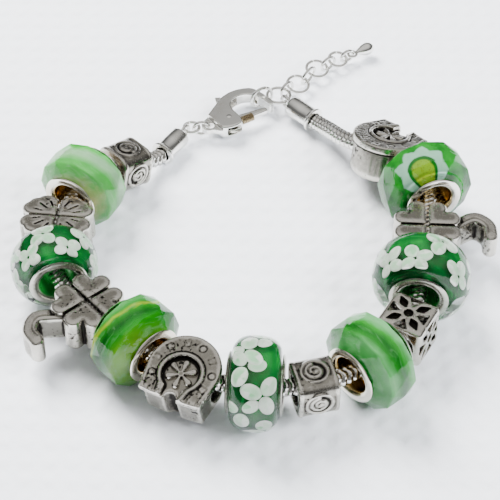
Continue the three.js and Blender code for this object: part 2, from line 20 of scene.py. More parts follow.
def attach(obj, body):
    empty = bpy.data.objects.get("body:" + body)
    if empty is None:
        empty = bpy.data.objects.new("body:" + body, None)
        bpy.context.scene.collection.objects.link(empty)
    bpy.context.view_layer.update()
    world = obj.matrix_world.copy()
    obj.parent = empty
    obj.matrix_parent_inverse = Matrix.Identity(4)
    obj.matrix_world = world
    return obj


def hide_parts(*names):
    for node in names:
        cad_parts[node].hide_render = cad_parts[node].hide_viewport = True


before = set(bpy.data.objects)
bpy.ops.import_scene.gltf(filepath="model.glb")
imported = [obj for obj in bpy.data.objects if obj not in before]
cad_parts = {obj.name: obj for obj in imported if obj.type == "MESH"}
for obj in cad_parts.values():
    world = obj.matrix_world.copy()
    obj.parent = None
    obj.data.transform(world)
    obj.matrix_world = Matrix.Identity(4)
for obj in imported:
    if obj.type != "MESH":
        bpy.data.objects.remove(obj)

log = logging.getLogger("bracelet")

MM = 0.001
ORIGIN = Vector((-0.758, -9.527, 0.0))  # the chain's working frame to the row frame
BRACELET = "bracelet"
LEVER = "lever"

Colour = tuple[float, float, float]
Point2 = tuple[float, float]
Ramp = Sequence[tuple[float, Colour]]


# Bmesh shapes, in millimetres


def moved(x: float = 0, y: float = 0, z: float = 0) -> Matrix:
    """A shift as a matrix."""
    return Matrix.Translation((x, y, z))


def turned_by(degrees: float, axis: str = "Z") -> Matrix:
    """A turn about one axis as a matrix."""
    return Matrix.Rotation(math.radians(degrees), 4, axis)


def sized(x: float, y: float, z: float) -> Matrix:
    """A scale along the three axes as a matrix."""
    return Matrix.Diagonal((x, y, z, 1))


def close_up(bm: bmesh.types.BMesh, distance: float = 1e-4) -> None:
    """Merges doubles and turns all faces outwards."""
    bmesh.ops.remove_doubles(bm, verts=bm.verts, dist=distance)
    bmesh.ops.recalc_face_normals(bm, faces=bm.faces)


def join(bm: bmesh.types.BMesh, part: bmesh.types.BMesh, place: Matrix | None = None) -> None:
    """Adds a part to a bmesh and frees the part.

    Args:
        bm: the bmesh that grows.
        part: the shape to add.
        place: where the part goes, or None for where it is.
    """
    if place is not None:
        part.transform(place)
        if place.determinant() < 0:
            bmesh.ops.reverse_faces(part, faces=part.faces)
    mesh = bpy.data.meshes.new("part")
    part.to_mesh(mesh)
    part.free()
    bm.from_mesh(mesh)
    bpy.data.meshes.remove(mesh)


def block(size: Vector | Sequence[float], bevel: float = 0, segments: int = 3) -> bmesh.types.BMesh:
    """A box about the origin with rounded edges.

    Args:
        size: its three sides.
        bevel: the width of the rounding.
        segments: steps in the rounding.

    Returns:
        The new bmesh.
    """
    bm = bmesh.new()
    bmesh.ops.create_cube(bm, size=1, matrix=sized(*size))
    if bevel:
        bmesh.ops.bevel(bm, geom=bm.edges[:], offset=bevel, segments=segments, profile=0.5,
                        affect="EDGES", material=-1)
    return bm


def rod(radius: float, length: float, sides: int = 48, axis: str = "X") -> bmesh.types.BMesh:
    """A round bar about the origin, along one axis.

    Args:
        radius: its radius.
        length: its length.
        sides: faces round it.
        axis: X, Y or Z.

    Returns:
        The new bmesh.
    """
    bm = bmesh.new()
    lay = {"X": turned_by(90, "Y"), "Y": turned_by(-90, "X"), "Z": Matrix.Identity(4)}[axis]
    bmesh.ops.create_cone(bm, cap_ends=True, cap_tris=False, segments=sides, radius1=radius, radius2=radius,
                          depth=length, matrix=lay)
    return bm


def turned(profile: Sequence[Point2], sides: int = 48) -> bmesh.types.BMesh:
    """A form turned about the x axis.

    Args:
        profile: pairs of x and radius, open from axis to axis or closed on itself.
        sides: steps round the axis.

    Returns:
        The new bmesh, with its faces outwards.
    """
    bm = bmesh.new()
    verts = [bm.verts.new((x, 0, r)) for x, r in profile]
    edges = [bm.edges.new(pair) for pair in zip(verts, verts[1:]) if pair[0].co != pair[1].co]
    bmesh.ops.spin(bm, geom=verts + edges, cent=(0, 0, 0), axis=(1, 0, 0), angle=2 * math.pi,
                   steps=sides, use_merge=True, use_duplicate=False)
    close_up(bm)
    return bm


def hoop(radius: float, wire: float, split: float = 0, steps: int = 40, sides: int = 12) -> bmesh.types.BMesh:
    """A wire ring in the plane z = 0.

    Args:
        radius: to the middle of the wire.
        wire: the wire's own radius.
        split: degrees left open where the wire's ends meet.
        steps: steps round the ring.
        sides: faces round the wire.

    Returns:
        The new bmesh.
    """
    bm = bmesh.new()
    bmesh.ops.create_circle(bm, cap_ends=False, segments=sides, radius=wire,
                            matrix=moved(radius) @ turned_by(90, "X"))
    bmesh.ops.spin(bm, geom=bm.verts[:] + bm.edges[:], cent=(0, 0, 0), axis=(0, 0, 1),
                   angle=math.radians(360 - split), steps=steps, use_merge=split == 0)
    if split:
        bmesh.ops.holes_fill(bm, edges=bm.edges[:], sides=0)
    close_up(bm)
    return bm


def hull(rings: Sequence[tuple[float, Vector | Sequence[float]]], sides: int = 20) -> bmesh.types.BMesh:
    """The convex form round some flat rings.

    Args:
        rings: pairs of radius and centre; a radius of 0 is a single point.
        sides: corners of each ring.

    Returns:
        The new bmesh.
    """
    bm = bmesh.new()
    for radius, centre in rings:
        if radius:
            bmesh.ops.create_circle(bm, cap_ends=False, segments=sides, radius=radius, matrix=moved(*centre))
        else:
            bm.verts.new(centre)
    done = bmesh.ops.convex_hull(bm, input=bm.verts[:], use_existing_faces=False)
    spare = [v for v in done["geom_interior"] + done["geom_unused"] if isinstance(v, bmesh.types.BMVert)]
    bmesh.ops.delete(bm, geom=list(set(spare)), context="VERTS")
    close_up(bm)
    return bm


def pad(radius: float, centre: Point2, tip: Point2, half: float, chamfer: float) -> bmesh.types.BMesh:
    """A flat pad with sloped rims: a round lobe drawn out to a tip.

    Args:
        radius: of the lobe.
        centre: of the lobe, in x and y.
        tip: the pad's point, in x and y.
        half: half its thickness.
        chamfer: width and height of the sloped rim.

    Returns:
        The new bmesh.
    """
    cx, cy = centre
    aim = (Vector(centre) - Vector(tip)).normalized() * chamfer * 1.6
    rings = []
    for side in (-1, 1):
        rings += [(radius, (cx, cy, side * (half - chamfer))), (radius - chamfer, (cx, cy, side * half))]
        rings += [(0, (*tip, side * (half - chamfer))), (0, (tip[0] + aim.x, tip[1] + aim.y, side * half))]
    return hull(rings)


def plate(outline: Sequence[Point2], thickness: float, bevel: float = 0,
          segments: int = 2) -> bmesh.types.BMesh:
    """A flat plate about z = 0 with rounded rims.

    Args:
        outline: its corners in x and y, in order.
        thickness: in z.
        bevel: the width of its rims.
        segments: steps in the rims.

    Returns:
        The new bmesh.
    """
    bm = bmesh.new()
    face = bm.faces.new([bm.verts.new((x, y, -thickness / 2)) for x, y in outline])
    raised = bmesh.ops.extrude_face_region(bm, geom=[face])["geom"]
    bmesh.ops.translate(bm, verts=[v for v in raised if isinstance(v, bmesh.types.BMVert)],
                        vec=(0, 0, thickness))
    bmesh.ops.recalc_face_normals(bm, faces=bm.faces)
    if bevel:
        rims = [e for e in bm.edges if abs(e.verts[0].co.z - e.verts[1].co.z) < 1e-6]
        bmesh.ops.bevel(bm, geom=rims, offset=bevel, segments=segments, profile=0.5, affect="EDGES",
                        material=-1)
    return bm


def swept(path: Sequence[Vector], section: Sequence[Point2],
          up: Vector = Vector((0, 0, 1))) -> bmesh.types.BMesh:
    """A section carried along a path, closed at both ends.

    Args:
        path: points in order.
        section: corners across the path, as pairs of sideways and upward distance.
        up: the section's upward direction.

    Returns:
        The new bmesh.
    """
    bm = bmesh.new()
    frames = []
    for i, point in enumerate(path):
        ahead = (path[min(i + 1, len(path) - 1)] - path[max(i - 1, 0)]).normalized()
        side = up.cross(ahead).normalized()
        frames.append((point, side, ahead.cross(side)))
    point, side, above = frames[0]
    verts = [bm.verts.new(point + side * a + above * b) for a, b in section]
    loop = [bm.edges.new((verts[i], verts[(i + 1) % len(verts)])) for i in range(len(verts))]
    for point, side, above in frames[1:]:
        grown = bmesh.ops.extrude_edge_only(bm, edges=loop)["geom"]
        loop = [e for e in grown if isinstance(e, bmesh.types.BMEdge)]
        fresh = {v for e in loop for v in e.verts}
        verts = [next(e.other_vert(v) for e in v.link_edges if e.other_vert(v) in fresh) for v in verts]
        for v, (a, b) in zip(verts, section):
            v.co = point + side * a + above * b
    bmesh.ops.holes_fill(bm, edges=bm.edges[:], sides=0)
    close_up(bm)
    return bm


def rounded_bar(width: float, height: float, length: float, corner: float, bevel: float) -> bmesh.types.BMesh:
    """A bar along x with a rounded rectangle as its section.

    Args:
        width: of the section, in y.
        height: of the section, in z.
        length: in x.
        corner: the radius of the section's corners.
        bevel: the rounding of both ends.

    Returns:
        The new bmesh.
    """
    a, b = width / 2 - corner, height / 2 - corner
    outline = [point for i, (x, y) in enumerate(((a, b), (-a, b), (-a, -b), (a, -b)))
               for point in arc(corner, 90 * i, 90 * i + 90, (x, y), 6)]
    bm = plate(outline, length, bevel, 3)
    bm.transform(turned_by(90, "X") @ turned_by(90, "Y"))
    return bm


def round_section(radius: float, sides: int = 10) -> list[Point2]:
    """Corners of a round section for swept()."""
    return [(radius * math.cos(2 * math.pi * i / sides), radius * math.sin(2 * math.pi * i / sides))
            for i in range(sides)]


def arc(radius: float, start: float, end: float, centre: Point2 = (0, 0), steps: int = 24) -> list[Point2]:
    """Points along an arc between two angles in degrees."""
    angles = (math.radians(start + (end - start) * i / steps) for i in range(steps + 1))
    return [(centre[0] + radius * math.cos(a), centre[1] + radius * math.sin(a)) for a in angles]


def bend(start: Point2, bends: Sequence[tuple[Point2, ...]], steps: int = 8) -> list[Point2]:
    """An outline of straight runs and quadratic bends.

    Args:
        start: the first point.
        bends: for each run its end, or its handle and its end.
        steps: points in each bend.

    Returns:
        The outline's points, without a repeated last point.
    """
    points = [start]
    for run in bends:
        if len(run) == 1:
            points.append(run[0])
            continue
        a, (h, b) = points[-1], run
        for i in range(1, steps + 1):
            t = i / steps
            points.append(tuple((1 - t) ** 2 * a[k] + 2 * t * (1 - t) * h[k] + t * t * b[k] for k in (0, 1)))
    if math.dist(points[0], points[-1]) < 1e-6:
        points.pop()
    return points


# Pieces from bmeshes


def keep_local(mesh: bpy.types.Mesh) -> None:
    """Stores each point's place in the bead's own frame, in millimetres, as the attribute bead."""
    places = np.empty(len(mesh.vertices) * 3, np.float32)
    mesh.vertices.foreach_get("co", places)
    layer = mesh.attributes.new("bead", "FLOAT_VECTOR", "POINT")
    layer.data.foreach_set("vector", places)


def keep_relief(mesh: bpy.types.Mesh, rounds: int, reach: float) -> None:
    """Stores how far each point stands above or lies below the smoothed surface, as the attribute relief.

    Args:
        mesh: the mesh to measure.
        rounds: how often the comparison surface is smoothed.
        reach: the distance, in millimetres, that counts as full height or depth.
    """
    count = len(mesh.vertices)
    places = np.empty(count * 3)
    mesh.vertices.foreach_get("co", places)
    places = places.reshape(-1, 3)
    pairs = np.empty(len(mesh.edges) * 2, np.int64)
    mesh.edges.foreach_get("vertices", pairs)
    a, b = pairs.reshape(-1, 2).T
    degree = np.bincount(a, minlength=count) + np.bincount(b, minlength=count)
    degree = np.maximum(degree, 1)[:, None]
    soft = places.copy()
    for _ in range(rounds):
        total = np.zeros_like(soft)
        for k in range(3):
            total[:, k] = np.bincount(a, soft[b, k], count) + np.bincount(b, soft[a, k], count)
        soft = total / degree
    normals = np.empty(count * 3)
    mesh.vertices.foreach_get("normal", normals)
    height = ((places - soft) * normals.reshape(-1, 3)).sum(1)
    relief = np.clip(0.5 + 0.5 * height / reach, 0, 1).astype(np.float32)
    mesh.attributes.new("relief", "FLOAT", "POINT").data.foreach_set("value", relief)


class Cutting(Enum):
    """How the cuts are taken away from a casting."""

    FAST = "fast"  # merged cuts and the fast sum
    EXACT = "exact"  # merged cuts and the slower exact sum
    PLAIN = "plain"  # a few large blocks, cut exactly as they are


@dataclass(frozen=True)
class Casting:
    """How a cast piece is fused from overlapping shapes and cut."""

    voxel: float = 0.13
    smoothing: int = 3
    relief_rounds: int = 26
    relief_reach: float = 0.16
    cutting: Cutting = Cutting.FAST

    def cast(self, solid: bmesh.types.BMesh, cuts: bmesh.types.BMesh | None = None) -> bpy.types.Mesh:
        """Fuses a casting.

        Args:
            solid: overlapping closed shapes.
            cuts: closed shapes to take away, or None.

        Returns:
            One closed mesh with the attributes bead and relief.
        """
        body = as_object("casting", solid)
        fuse = body.modifiers.new("fuse", "REMESH")
        fuse.mode, fuse.voxel_size = "VOXEL", self.voxel
        cutter = None
        if cuts is not None:
            cutter = as_object("cutter", cuts)
            cut = body.modifiers.new("cut", "BOOLEAN")
            cut.operation, cut.object = "DIFFERENCE", cutter
            cut.solver = "FAST" if self.cutting is Cutting.FAST else "EXACT"
            if self.cutting is Cutting.PLAIN:
                cut.use_self = True
            else:
                merge = cutter.modifiers.new("merge", "REMESH")
                merge.mode, merge.voxel_size = "VOXEL", self.voxel * 0.6
            again = body.modifiers.new("again", "REMESH")
            again.mode, again.voxel_size = "VOXEL", self.voxel * 0.85
        soften = body.modifiers.new("soften", "SMOOTH")
        soften.factor, soften.iterations = 0.5, self.smoothing
        bpy.context.view_layer.update()
        mesh = bpy.data.meshes.new_from_object(body.evaluated_get(bpy.context.evaluated_depsgraph_get()))
        for spare in filter(None, (body, cutter)):
            data = spare.data
            bpy.data.objects.remove(spare)
            bpy.data.meshes.remove(data)
        keep_local(mesh)
        keep_relief(mesh, self.relief_rounds, self.relief_reach)
        return mesh


def as_object(name: str, bm: bmesh.types.BMesh) -> bpy.types.Object:
    """Makes a bmesh a linked object and frees the bmesh."""
    mesh = bpy.data.meshes.new(name)
    bm.to_mesh(mesh)
    bm.free()
    made = bpy.data.objects.new(name, mesh)
    bpy.context.scene.collection.objects.link(made)
    return made


def plain_mesh(bm: bmesh.types.BMesh) -> bpy.types.Mesh:
    """Makes a bmesh a mesh with the attribute bead and frees the bmesh."""
    mesh = bpy.data.meshes.new("piece")
    bm.to_mesh(mesh)
    bm.free()
    keep_local(mesh)
    return mesh


def finish(name: str, mesh: bpy.types.Mesh, place: Matrix, material: bpy.types.Material,
           nodes: Sequence[str] = (), body: str = BRACELET, crease: float = 40) -> bpy.types.Object:
    """Puts a mesh in its place as a finished piece.

    Args:
        name: the piece's name.
        mesh: its mesh, in millimetres in its own frame.
        place: that frame in the working frame, in millimetres.
        material: its finish.
        nodes: the CAD nodes it stands for.
        body: the body it moves with.
        crease: edges sharper than this many degrees stay sharp.

    Returns:
        The piece.
    """
    mesh.transform(Matrix.Scale(MM, 4) @ Matrix.Translation(ORIGIN) @ place)
    mesh.name = name
    mesh.materials.clear()
    mesh.materials.append(material)
    mesh.shade_smooth()
    mesh.set_sharp_from_angle(angle=math.radians(crease))
    piece = bpy.data.objects.new(name, mesh)
    bpy.context.scene.collection.objects.link(piece)
    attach(piece, body)
    if nodes:
        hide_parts(*nodes)
    log.info("%s: %d faces", name, len(mesh.polygons))
    return piece


# Node trees


class Sheet:
    """Short-hand for filling one node tree."""

    def __init__(self, tree: bpy.types.NodeTree) -> None:
        """Starts on an empty tree."""
        self.tree = tree
        tree.nodes.clear()

    def feed(self, socket: bpy.types.NodeSocket, value: Any) -> None:
        """Links a socket to another, or sets its value."""
        if isinstance(value, bpy.types.NodeSocket):
            self.tree.links.new(value, socket)
        elif isinstance(value, tuple) and len(value) == 3 and socket.type == "RGBA":
            socket.default_value = (*value, 1)
        else:
            socket.default_value = value

    def add(self, kind: str, inputs: dict[str | int, Any] | None = None, **settings: Any) -> bpy.types.Node:
        """Adds a node.

        Args:
            kind: the node's type.
            inputs: values or sockets for its inputs.
            settings: the node's own properties.

        Returns:
            The node.
        """
        node = self.tree.nodes.new(kind)
        for key, value in settings.items():
            setattr(node, key, value)
        for key, value in (inputs or {}).items():
            self.feed(node.inputs[key], value)
        return node

    def maths(self, operation: str, a: Any, b: Any = 0.0, clamp: bool = False) -> bpy.types.NodeSocket:
        """One sum; returns its result."""
        node = self.add("ShaderNodeMath", {0: a, 1: b}, operation=operation, use_clamp=clamp)
        return node.outputs[0]

    def between(self, value: Any, low: float, high: float) -> bpy.types.NodeSocket:
        """A smooth step from 0 at low to 1 at high."""
        node = self.add("ShaderNodeMapRange", {"Value": value, "From Min": low, "From Max": high},
                        interpolation_type="SMOOTHSTEP", clamp=True)
        return node.outputs[0]

    def spread(self, value: Any, low: float, high: float) -> bpy.types.NodeSocket:
        """Spreads a value from 0 to 1 over another range."""
        node = self.add("ShaderNodeMapRange", {"Value": value, "To Min": low, "To Max": high}, clamp=True)
        return node.outputs[0]

    def mix(self, share: Any, a: Any, b: Any, blend: str = "MIX") -> bpy.types.NodeSocket:
        """Mixes two colours; returns the colour."""
        node = self.add("ShaderNodeMix", data_type="RGBA", blend_type=blend)
        self.feed(node.inputs[0], share)
        self.feed(node.inputs[6], a)
        self.feed(node.inputs[7], b)
        return node.outputs[2]

    def noise(self, place: Any, scale: float, detail: float = 3,
              distortion: float = 0) -> bpy.types.NodeSocket:
        """Noise about 0.5 over a place."""
        node = self.add("ShaderNodeTexNoise", {"Vector": place, "Scale": scale, "Detail": detail,
                                               "Distortion": distortion})
        return node.outputs["Fac"]

    def ramp(self, value: Any, stops: Ramp) -> bpy.types.NodeSocket:
        """Colours along a value from 0 to 1."""
        node = self.add("ShaderNodeValToRGB", {0: value})
        ramp = node.color_ramp
        while len(ramp.elements) < len(stops):
            ramp.elements.new(0.5)
        for element, (at, colour) in zip(ramp.elements, stops):
            element.position, element.color = at, (*colour, 1)
        return node.outputs[0]

    def attribute(self, name: str, part: str = "Fac") -> bpy.types.NodeSocket:
        """A mesh attribute."""
        return self.add("ShaderNodeAttribute", attribute_name=name).outputs[part]

    def object_place(self) -> bpy.types.NodeSocket:
        """The piece's own coordinates, in metres."""
        return self.add("ShaderNodeTexCoord").outputs["Object"]

    def bump(self, height: Any, distance: float, strength: float = 1.0) -> bpy.types.NodeSocket:
        """A bumped normal; distance in metres."""
        return self.add("ShaderNodeBump", {"Height": height, "Distance": distance,
                                           "Strength": strength}).outputs[0]

    def surface(self, inputs: dict[str, Any]) -> None:
        """Ends a material with a Principled shader with these inputs."""
        shader = self.add("ShaderNodeBsdfPrincipled", inputs)
        out = self.add("ShaderNodeOutputMaterial")
        self.tree.links.new(shader.outputs[0], out.inputs["Surface"])


class Effect(Enum):
    """The effects that several materials share, each a node group."""

    WEAR = "fine_wear"
    SWIRLS = "glass_swirls"


def new_group(effect: Effect, inputs: Sequence[tuple[str, str, Any]],
              outputs: Sequence[tuple[str, str]]) -> tuple[Sheet, bpy.types.Node, bpy.types.Node]:
    """Starts a shader node group.

    Args:
        effect: which effect it is.
        inputs: name, socket type and first value of each input.
        outputs: name and socket type of each output.

    Returns:
        The sheet of its tree, its input node and its output node.
    """
    tree = bpy.data.node_groups.new(effect.value, "ShaderNodeTree")
    sheet = Sheet(tree)
    for name, kind, value in inputs:
        socket = tree.interface.new_socket(name, in_out="INPUT", socket_type=kind)
        if value is not None:
            socket.default_value = value
    for name, kind in outputs:
        tree.interface.new_socket(name, in_out="OUTPUT", socket_type=kind)
    return sheet, sheet.add("NodeGroupInput"), sheet.add("NodeGroupOutput")


def wear_group() -> bpy.types.NodeTree:
    """Handling marks of metal: hairline scratches, small pits and cloudy tarnish.

    Returns:
        The group, with outputs Tarnish, Roughness and Height.
    """
    found = bpy.data.node_groups.get(Effect.WEAR.value)
    if found:
        return found
    number = "NodeSocketFloat"
    sheet, given, out = new_group(
        Effect.WEAR,
        [("Place", "NodeSocketVector", None), ("Smooth", number, 0.15), ("Worn", number, 0.35),
         ("Pits", number, 0.3)],
        [("Tarnish", number), ("Roughness", number), ("Height", number)])
    place = given.outputs["Place"]
    cloud = sheet.noise(place, 240, 4)
    stretched = sheet.add("ShaderNodeMapping", {"Vector": place, "Rotation": (0.5, 0.3, 0.9),
                                                "Scale": (700, 5200, 5200)}).outputs[0]
    scratch = sheet.between(sheet.noise(stretched, 1, 2), 0.62, 0.7)
    crossing = sheet.add("ShaderNodeMapping", {"Vector": place, "Rotation": (1.1, -0.6, -0.7),
                                               "Scale": (4800, 800, 4800)}).outputs[0]
    scratch = sheet.maths("MAXIMUM", scratch, sheet.between(sheet.noise(crossing, 1, 2), 0.64, 0.72))
    pits = sheet.between(sheet.noise(place, 2600, 2), 0.66, 0.8)
    pits = sheet.maths("MULTIPLY", pits, given.outputs["Pits"])
    span = sheet.maths("SUBTRACT", given.outputs["Worn"], given.outputs["Smooth"])
    rough = sheet.maths("ADD", given.outputs["Smooth"],
                        sheet.maths("MULTIPLY", span, sheet.between(cloud, 0.35, 0.75)))
    rough = sheet.maths("ADD", rough, sheet.maths("MULTIPLY", scratch, 0.12))
    height = sheet.maths("SUBTRACT", sheet.maths("MULTIPLY", cloud, 0.4),
                         sheet.maths("ADD", pits, sheet.maths("MULTIPLY", scratch, 0.12)))
    tarnish = sheet.maths("ADD", sheet.between(cloud, 0.45, 0.8), pits, clamp=True)
    sheet.feed(out.inputs["Tarnish"], tarnish)
    sheet.feed(out.inputs["Roughness"], rough)
    sheet.feed(out.inputs["Height"], height)
    return sheet.tree


def swirl_group() -> bpy.types.NodeTree:
    """Streaks drawn out along the wind of molten glass.

    Returns:
        The group: from the place in the bead, a value from 0 at one end face to 1 at the
        other, pushed about by swirls, and a fine streak value.
    """
    found = bpy.data.node_groups.get(Effect.SWIRLS.value)
    if found:
        return found
    number = "NodeSocketFloat"
    sheet, given, out = new_group(
        Effect.SWIRLS,
        [("Place", "NodeSocketVector", None), ("Half Length", number, 4.0), ("Wander", number, 0.3),
         ("Slant", number, 0.05)],
        [("Along", number), ("Streak", number)])
    place = given.outputs["Place"]
    parts = sheet.add("ShaderNodeSeparateXYZ", {0: place})
    slow = sheet.noise(place, 0.16, 2, 0.6)
    drawn = sheet.add("ShaderNodeMapping", {"Vector": place, "Scale": (1.4, 0.28, 0.28)}).outputs[0]
    streak = sheet.noise(drawn, 1, 4, 1.2)
    along = sheet.maths("DIVIDE", parts.outputs[0], given.outputs["Half Length"])
    along = sheet.maths("MULTIPLY_ADD", along, 0.5)
    along.node.inputs[2].default_value = 0.5
    push = sheet.maths("MULTIPLY", sheet.maths("SUBTRACT", slow, 0.5), given.outputs["Wander"])
    push = sheet.maths("ADD", push, sheet.maths("MULTIPLY", sheet.maths("SUBTRACT", streak, 0.5),
                                                sheet.maths("MULTIPLY", given.outputs["Wander"], 0.5)))
    tilt = sheet.maths("MULTIPLY", parts.outputs[1], given.outputs["Slant"])
    along = sheet.maths("ADD", sheet.maths("ADD", along, push), tilt, clamp=True)
    sheet.feed(out.inputs["Along"], along)
    sheet.feed(out.inputs["Streak"], streak)
    return sheet.tree


# Finishes


def fresh_material(name: str) -> tuple[bpy.types.Material, Sheet]:
    """A new material and the sheet of its tree."""
    material = bpy.data.materials.new(name)
    material.use_nodes = True
    return material, Sheet(material.node_tree)


@dataclass(frozen=True)
class AntiqueSilver:
    """Cast alloy with polished high spots and blackened recesses."""

    name: str = "antique_silver"
    bright: Colour = (0.56, 0.535, 0.48)
    dull: Colour = (0.27, 0.255, 0.22)
    black: Colour = (0.018, 0.016, 0.014)
    smooth: float = 0.17
    worn: float = 0.33
    black_to: float = 0.40
    bright_from: float = 0.52

    def material(self) -> bpy.types.Material:
        """Builds the material."""
        material, sheet = fresh_material(self.name)
        place = sheet.object_place()
        wear = sheet.add("ShaderNodeGroup", node_tree=wear_group())
        for key, value in (("Place", place), ("Smooth", self.smooth), ("Worn", self.worn), ("Pits", 0.6)):
            sheet.feed(wear.inputs[key], value)
        relief = sheet.attribute("relief")
        patches = sheet.between(sheet.noise(place, 190, 2), 0.5, 0.62)
        pits = sheet.maths("MULTIPLY", sheet.between(sheet.noise(place, 1900, 2), 0.55, 0.66), patches)
        relief = sheet.maths("SUBTRACT", relief, sheet.maths("MULTIPLY", pits, 0.3))
        specks = sheet.maths("SUBTRACT", sheet.noise(place, 1500, 3), 0.5)
        grime = sheet.maths("ADD", relief, sheet.maths("MULTIPLY", specks, 0.16))
        clean = sheet.between(grime, self.black_to - 0.10, self.black_to + 0.06)
        polish = sheet.between(grime, self.bright_from, self.bright_from + 0.14)
        metal = sheet.mix(polish, self.dull, self.bright)
        metal = sheet.mix(sheet.maths("MULTIPLY", wear.outputs["Tarnish"], 0.35), metal, self.dull)
        colour = sheet.mix(clean, self.black, metal)
        rough = sheet.maths("ADD", wear.outputs["Roughness"],
                            sheet.maths("MULTIPLY", sheet.maths("SUBTRACT", 1.0, clean), 0.35), clamp=True)
        height = sheet.maths("SUBTRACT", wear.outputs["Height"], sheet.maths("MULTIPLY", pits, 2.0))
        sheet.surface({"Base Color": colour, "Metallic": 1.0, "Roughness": rough,
                       "Normal": sheet.bump(height, 0.00003)})
        return material


@dataclass(frozen=True)
class BrightPlate:
    """Bright silver plate with fine handling marks; with relief on, painted shade darkens its low grooves."""

    name: str = "bright_plate"
    silver: Colour = (0.87, 0.86, 0.82)
    shade: Colour = (0.66, 0.63, 0.56)
    smooth: float = 0.07
    worn: float = 0.2
    relief: bool = False

    def material(self) -> bpy.types.Material:
        """Builds the material."""
        material, sheet = fresh_material(self.name)
        place = sheet.object_place()
        wear = sheet.add("ShaderNodeGroup", node_tree=wear_group())
        for key, value in (("Place", place), ("Smooth", self.smooth), ("Worn", self.worn), ("Pits", 0.15)):
            sheet.feed(wear.inputs[key], value)
        colour = sheet.mix(sheet.maths("MULTIPLY", wear.outputs["Tarnish"], 0.5), self.silver, self.shade)
        rough = wear.outputs["Roughness"]
        # painted shade: where the relief attribute is low, as in the gaps between a snake chain's plates, the
        # colour goes dark brown and the surface rougher
        if self.relief:
            high = sheet.between(sheet.attribute("relief"), 0.08, 0.6)
            colour = sheet.mix(high, (0.16, 0.14, 0.11), colour)
            low = sheet.maths("SUBTRACT", 1.0, high)
            rough = sheet.maths("ADD", rough, sheet.maths("MULTIPLY", low, 0.25))
        sheet.surface({"Base Color": colour, "Metallic": 1.0, "Roughness": rough,
                       "Normal": sheet.bump(wear.outputs["Height"], 0.00001)})
        return material


@dataclass(frozen=True)
class SleeveMetal:
    """A bead's sleeve: one colour on the rim and another down its throat."""

    name: str
    rim: Colour
    throat: Colour
    smooth: float
    worn: float
    throat_radius: float = 3.1
    glassy_throat: bool = False  # the bead's own glass shows between two short collars

    def material(self) -> bpy.types.Material:
        """Builds the material."""
        material, sheet = fresh_material(self.name)
        place = sheet.object_place()
        wear = sheet.add("ShaderNodeGroup", node_tree=wear_group())
        for key, value in (("Place", place), ("Smooth", self.smooth), ("Worn", self.worn), ("Pits", 0.4)):
            sheet.feed(wear.inputs[key], value)
        bead = sheet.add("ShaderNodeSeparateXYZ", {0: sheet.attribute("bead", "Vector")})
        across = sheet.add("ShaderNodeCombineXYZ", {1: bead.outputs[1], 2: bead.outputs[2]}).outputs[0]
        radius = sheet.add("ShaderNodeVectorMath", {0: across}, operation="LENGTH").outputs["Value"]
        radius = sheet.maths("ADD", radius, sheet.maths("MULTIPLY", sheet.noise(place, 700, 3), 0.3))
        on_rim = sheet.between(radius, self.throat_radius, self.throat_radius + 0.45)
        rim = sheet.mix(sheet.maths("MULTIPLY", wear.outputs["Tarnish"], 0.4), self.rim, self.throat)
        colour = sheet.mix(on_rim, self.throat, rim)
        metal = sheet.spread(on_rim, 0.0 if self.glassy_throat else 1.0, 1.0)
        sheet.surface({"Base Color": colour, "Metallic": metal, "Roughness": wear.outputs["Roughness"],
                       "Normal": sheet.bump(wear.outputs["Height"], 0.000015)})
        return material


@dataclass(frozen=True)
class StreakedGlass:
    """The coloured body of a glass bead, streaked along its wind."""

    name: str
    half: float
    stops: Ramp
    wander: float = 0.3
    slant: float = 0.0
    streak: Colour = (0.75, 0.9, 0.75)
    streak_share: float = 0.35
    glow: float = 0.25

    def material(self) -> bpy.types.Material:
        """Builds the material."""
        material, sheet = fresh_material(self.name)
        bead = sheet.attribute("bead", "Vector")
        swirl = sheet.add("ShaderNodeGroup", node_tree=swirl_group())
        for key, value in (("Place", bead), ("Half Length", self.half), ("Wander", self.wander),
                           ("Slant", self.slant)):
            sheet.feed(swirl.inputs[key], value)
        colour = sheet.ramp(swirl.outputs["Along"], self.stops)
        pale = sheet.maths("MULTIPLY", sheet.between(swirl.outputs["Streak"], 0.52, 0.68), self.streak_share)
        colour = sheet.mix(pale, colour, self.streak)
        sheet.surface({"Base Color": colour, "Metallic": 0.0, "Roughness": sheet.spread(
            swirl.outputs["Streak"], 0.25, 0.45), "Specular IOR Level": 0.0, "Subsurface Weight": self.glow,
            "Subsurface Radius": (0.0012, 0.0025, 0.0012), "Subsurface Scale": 1.0})
        return material


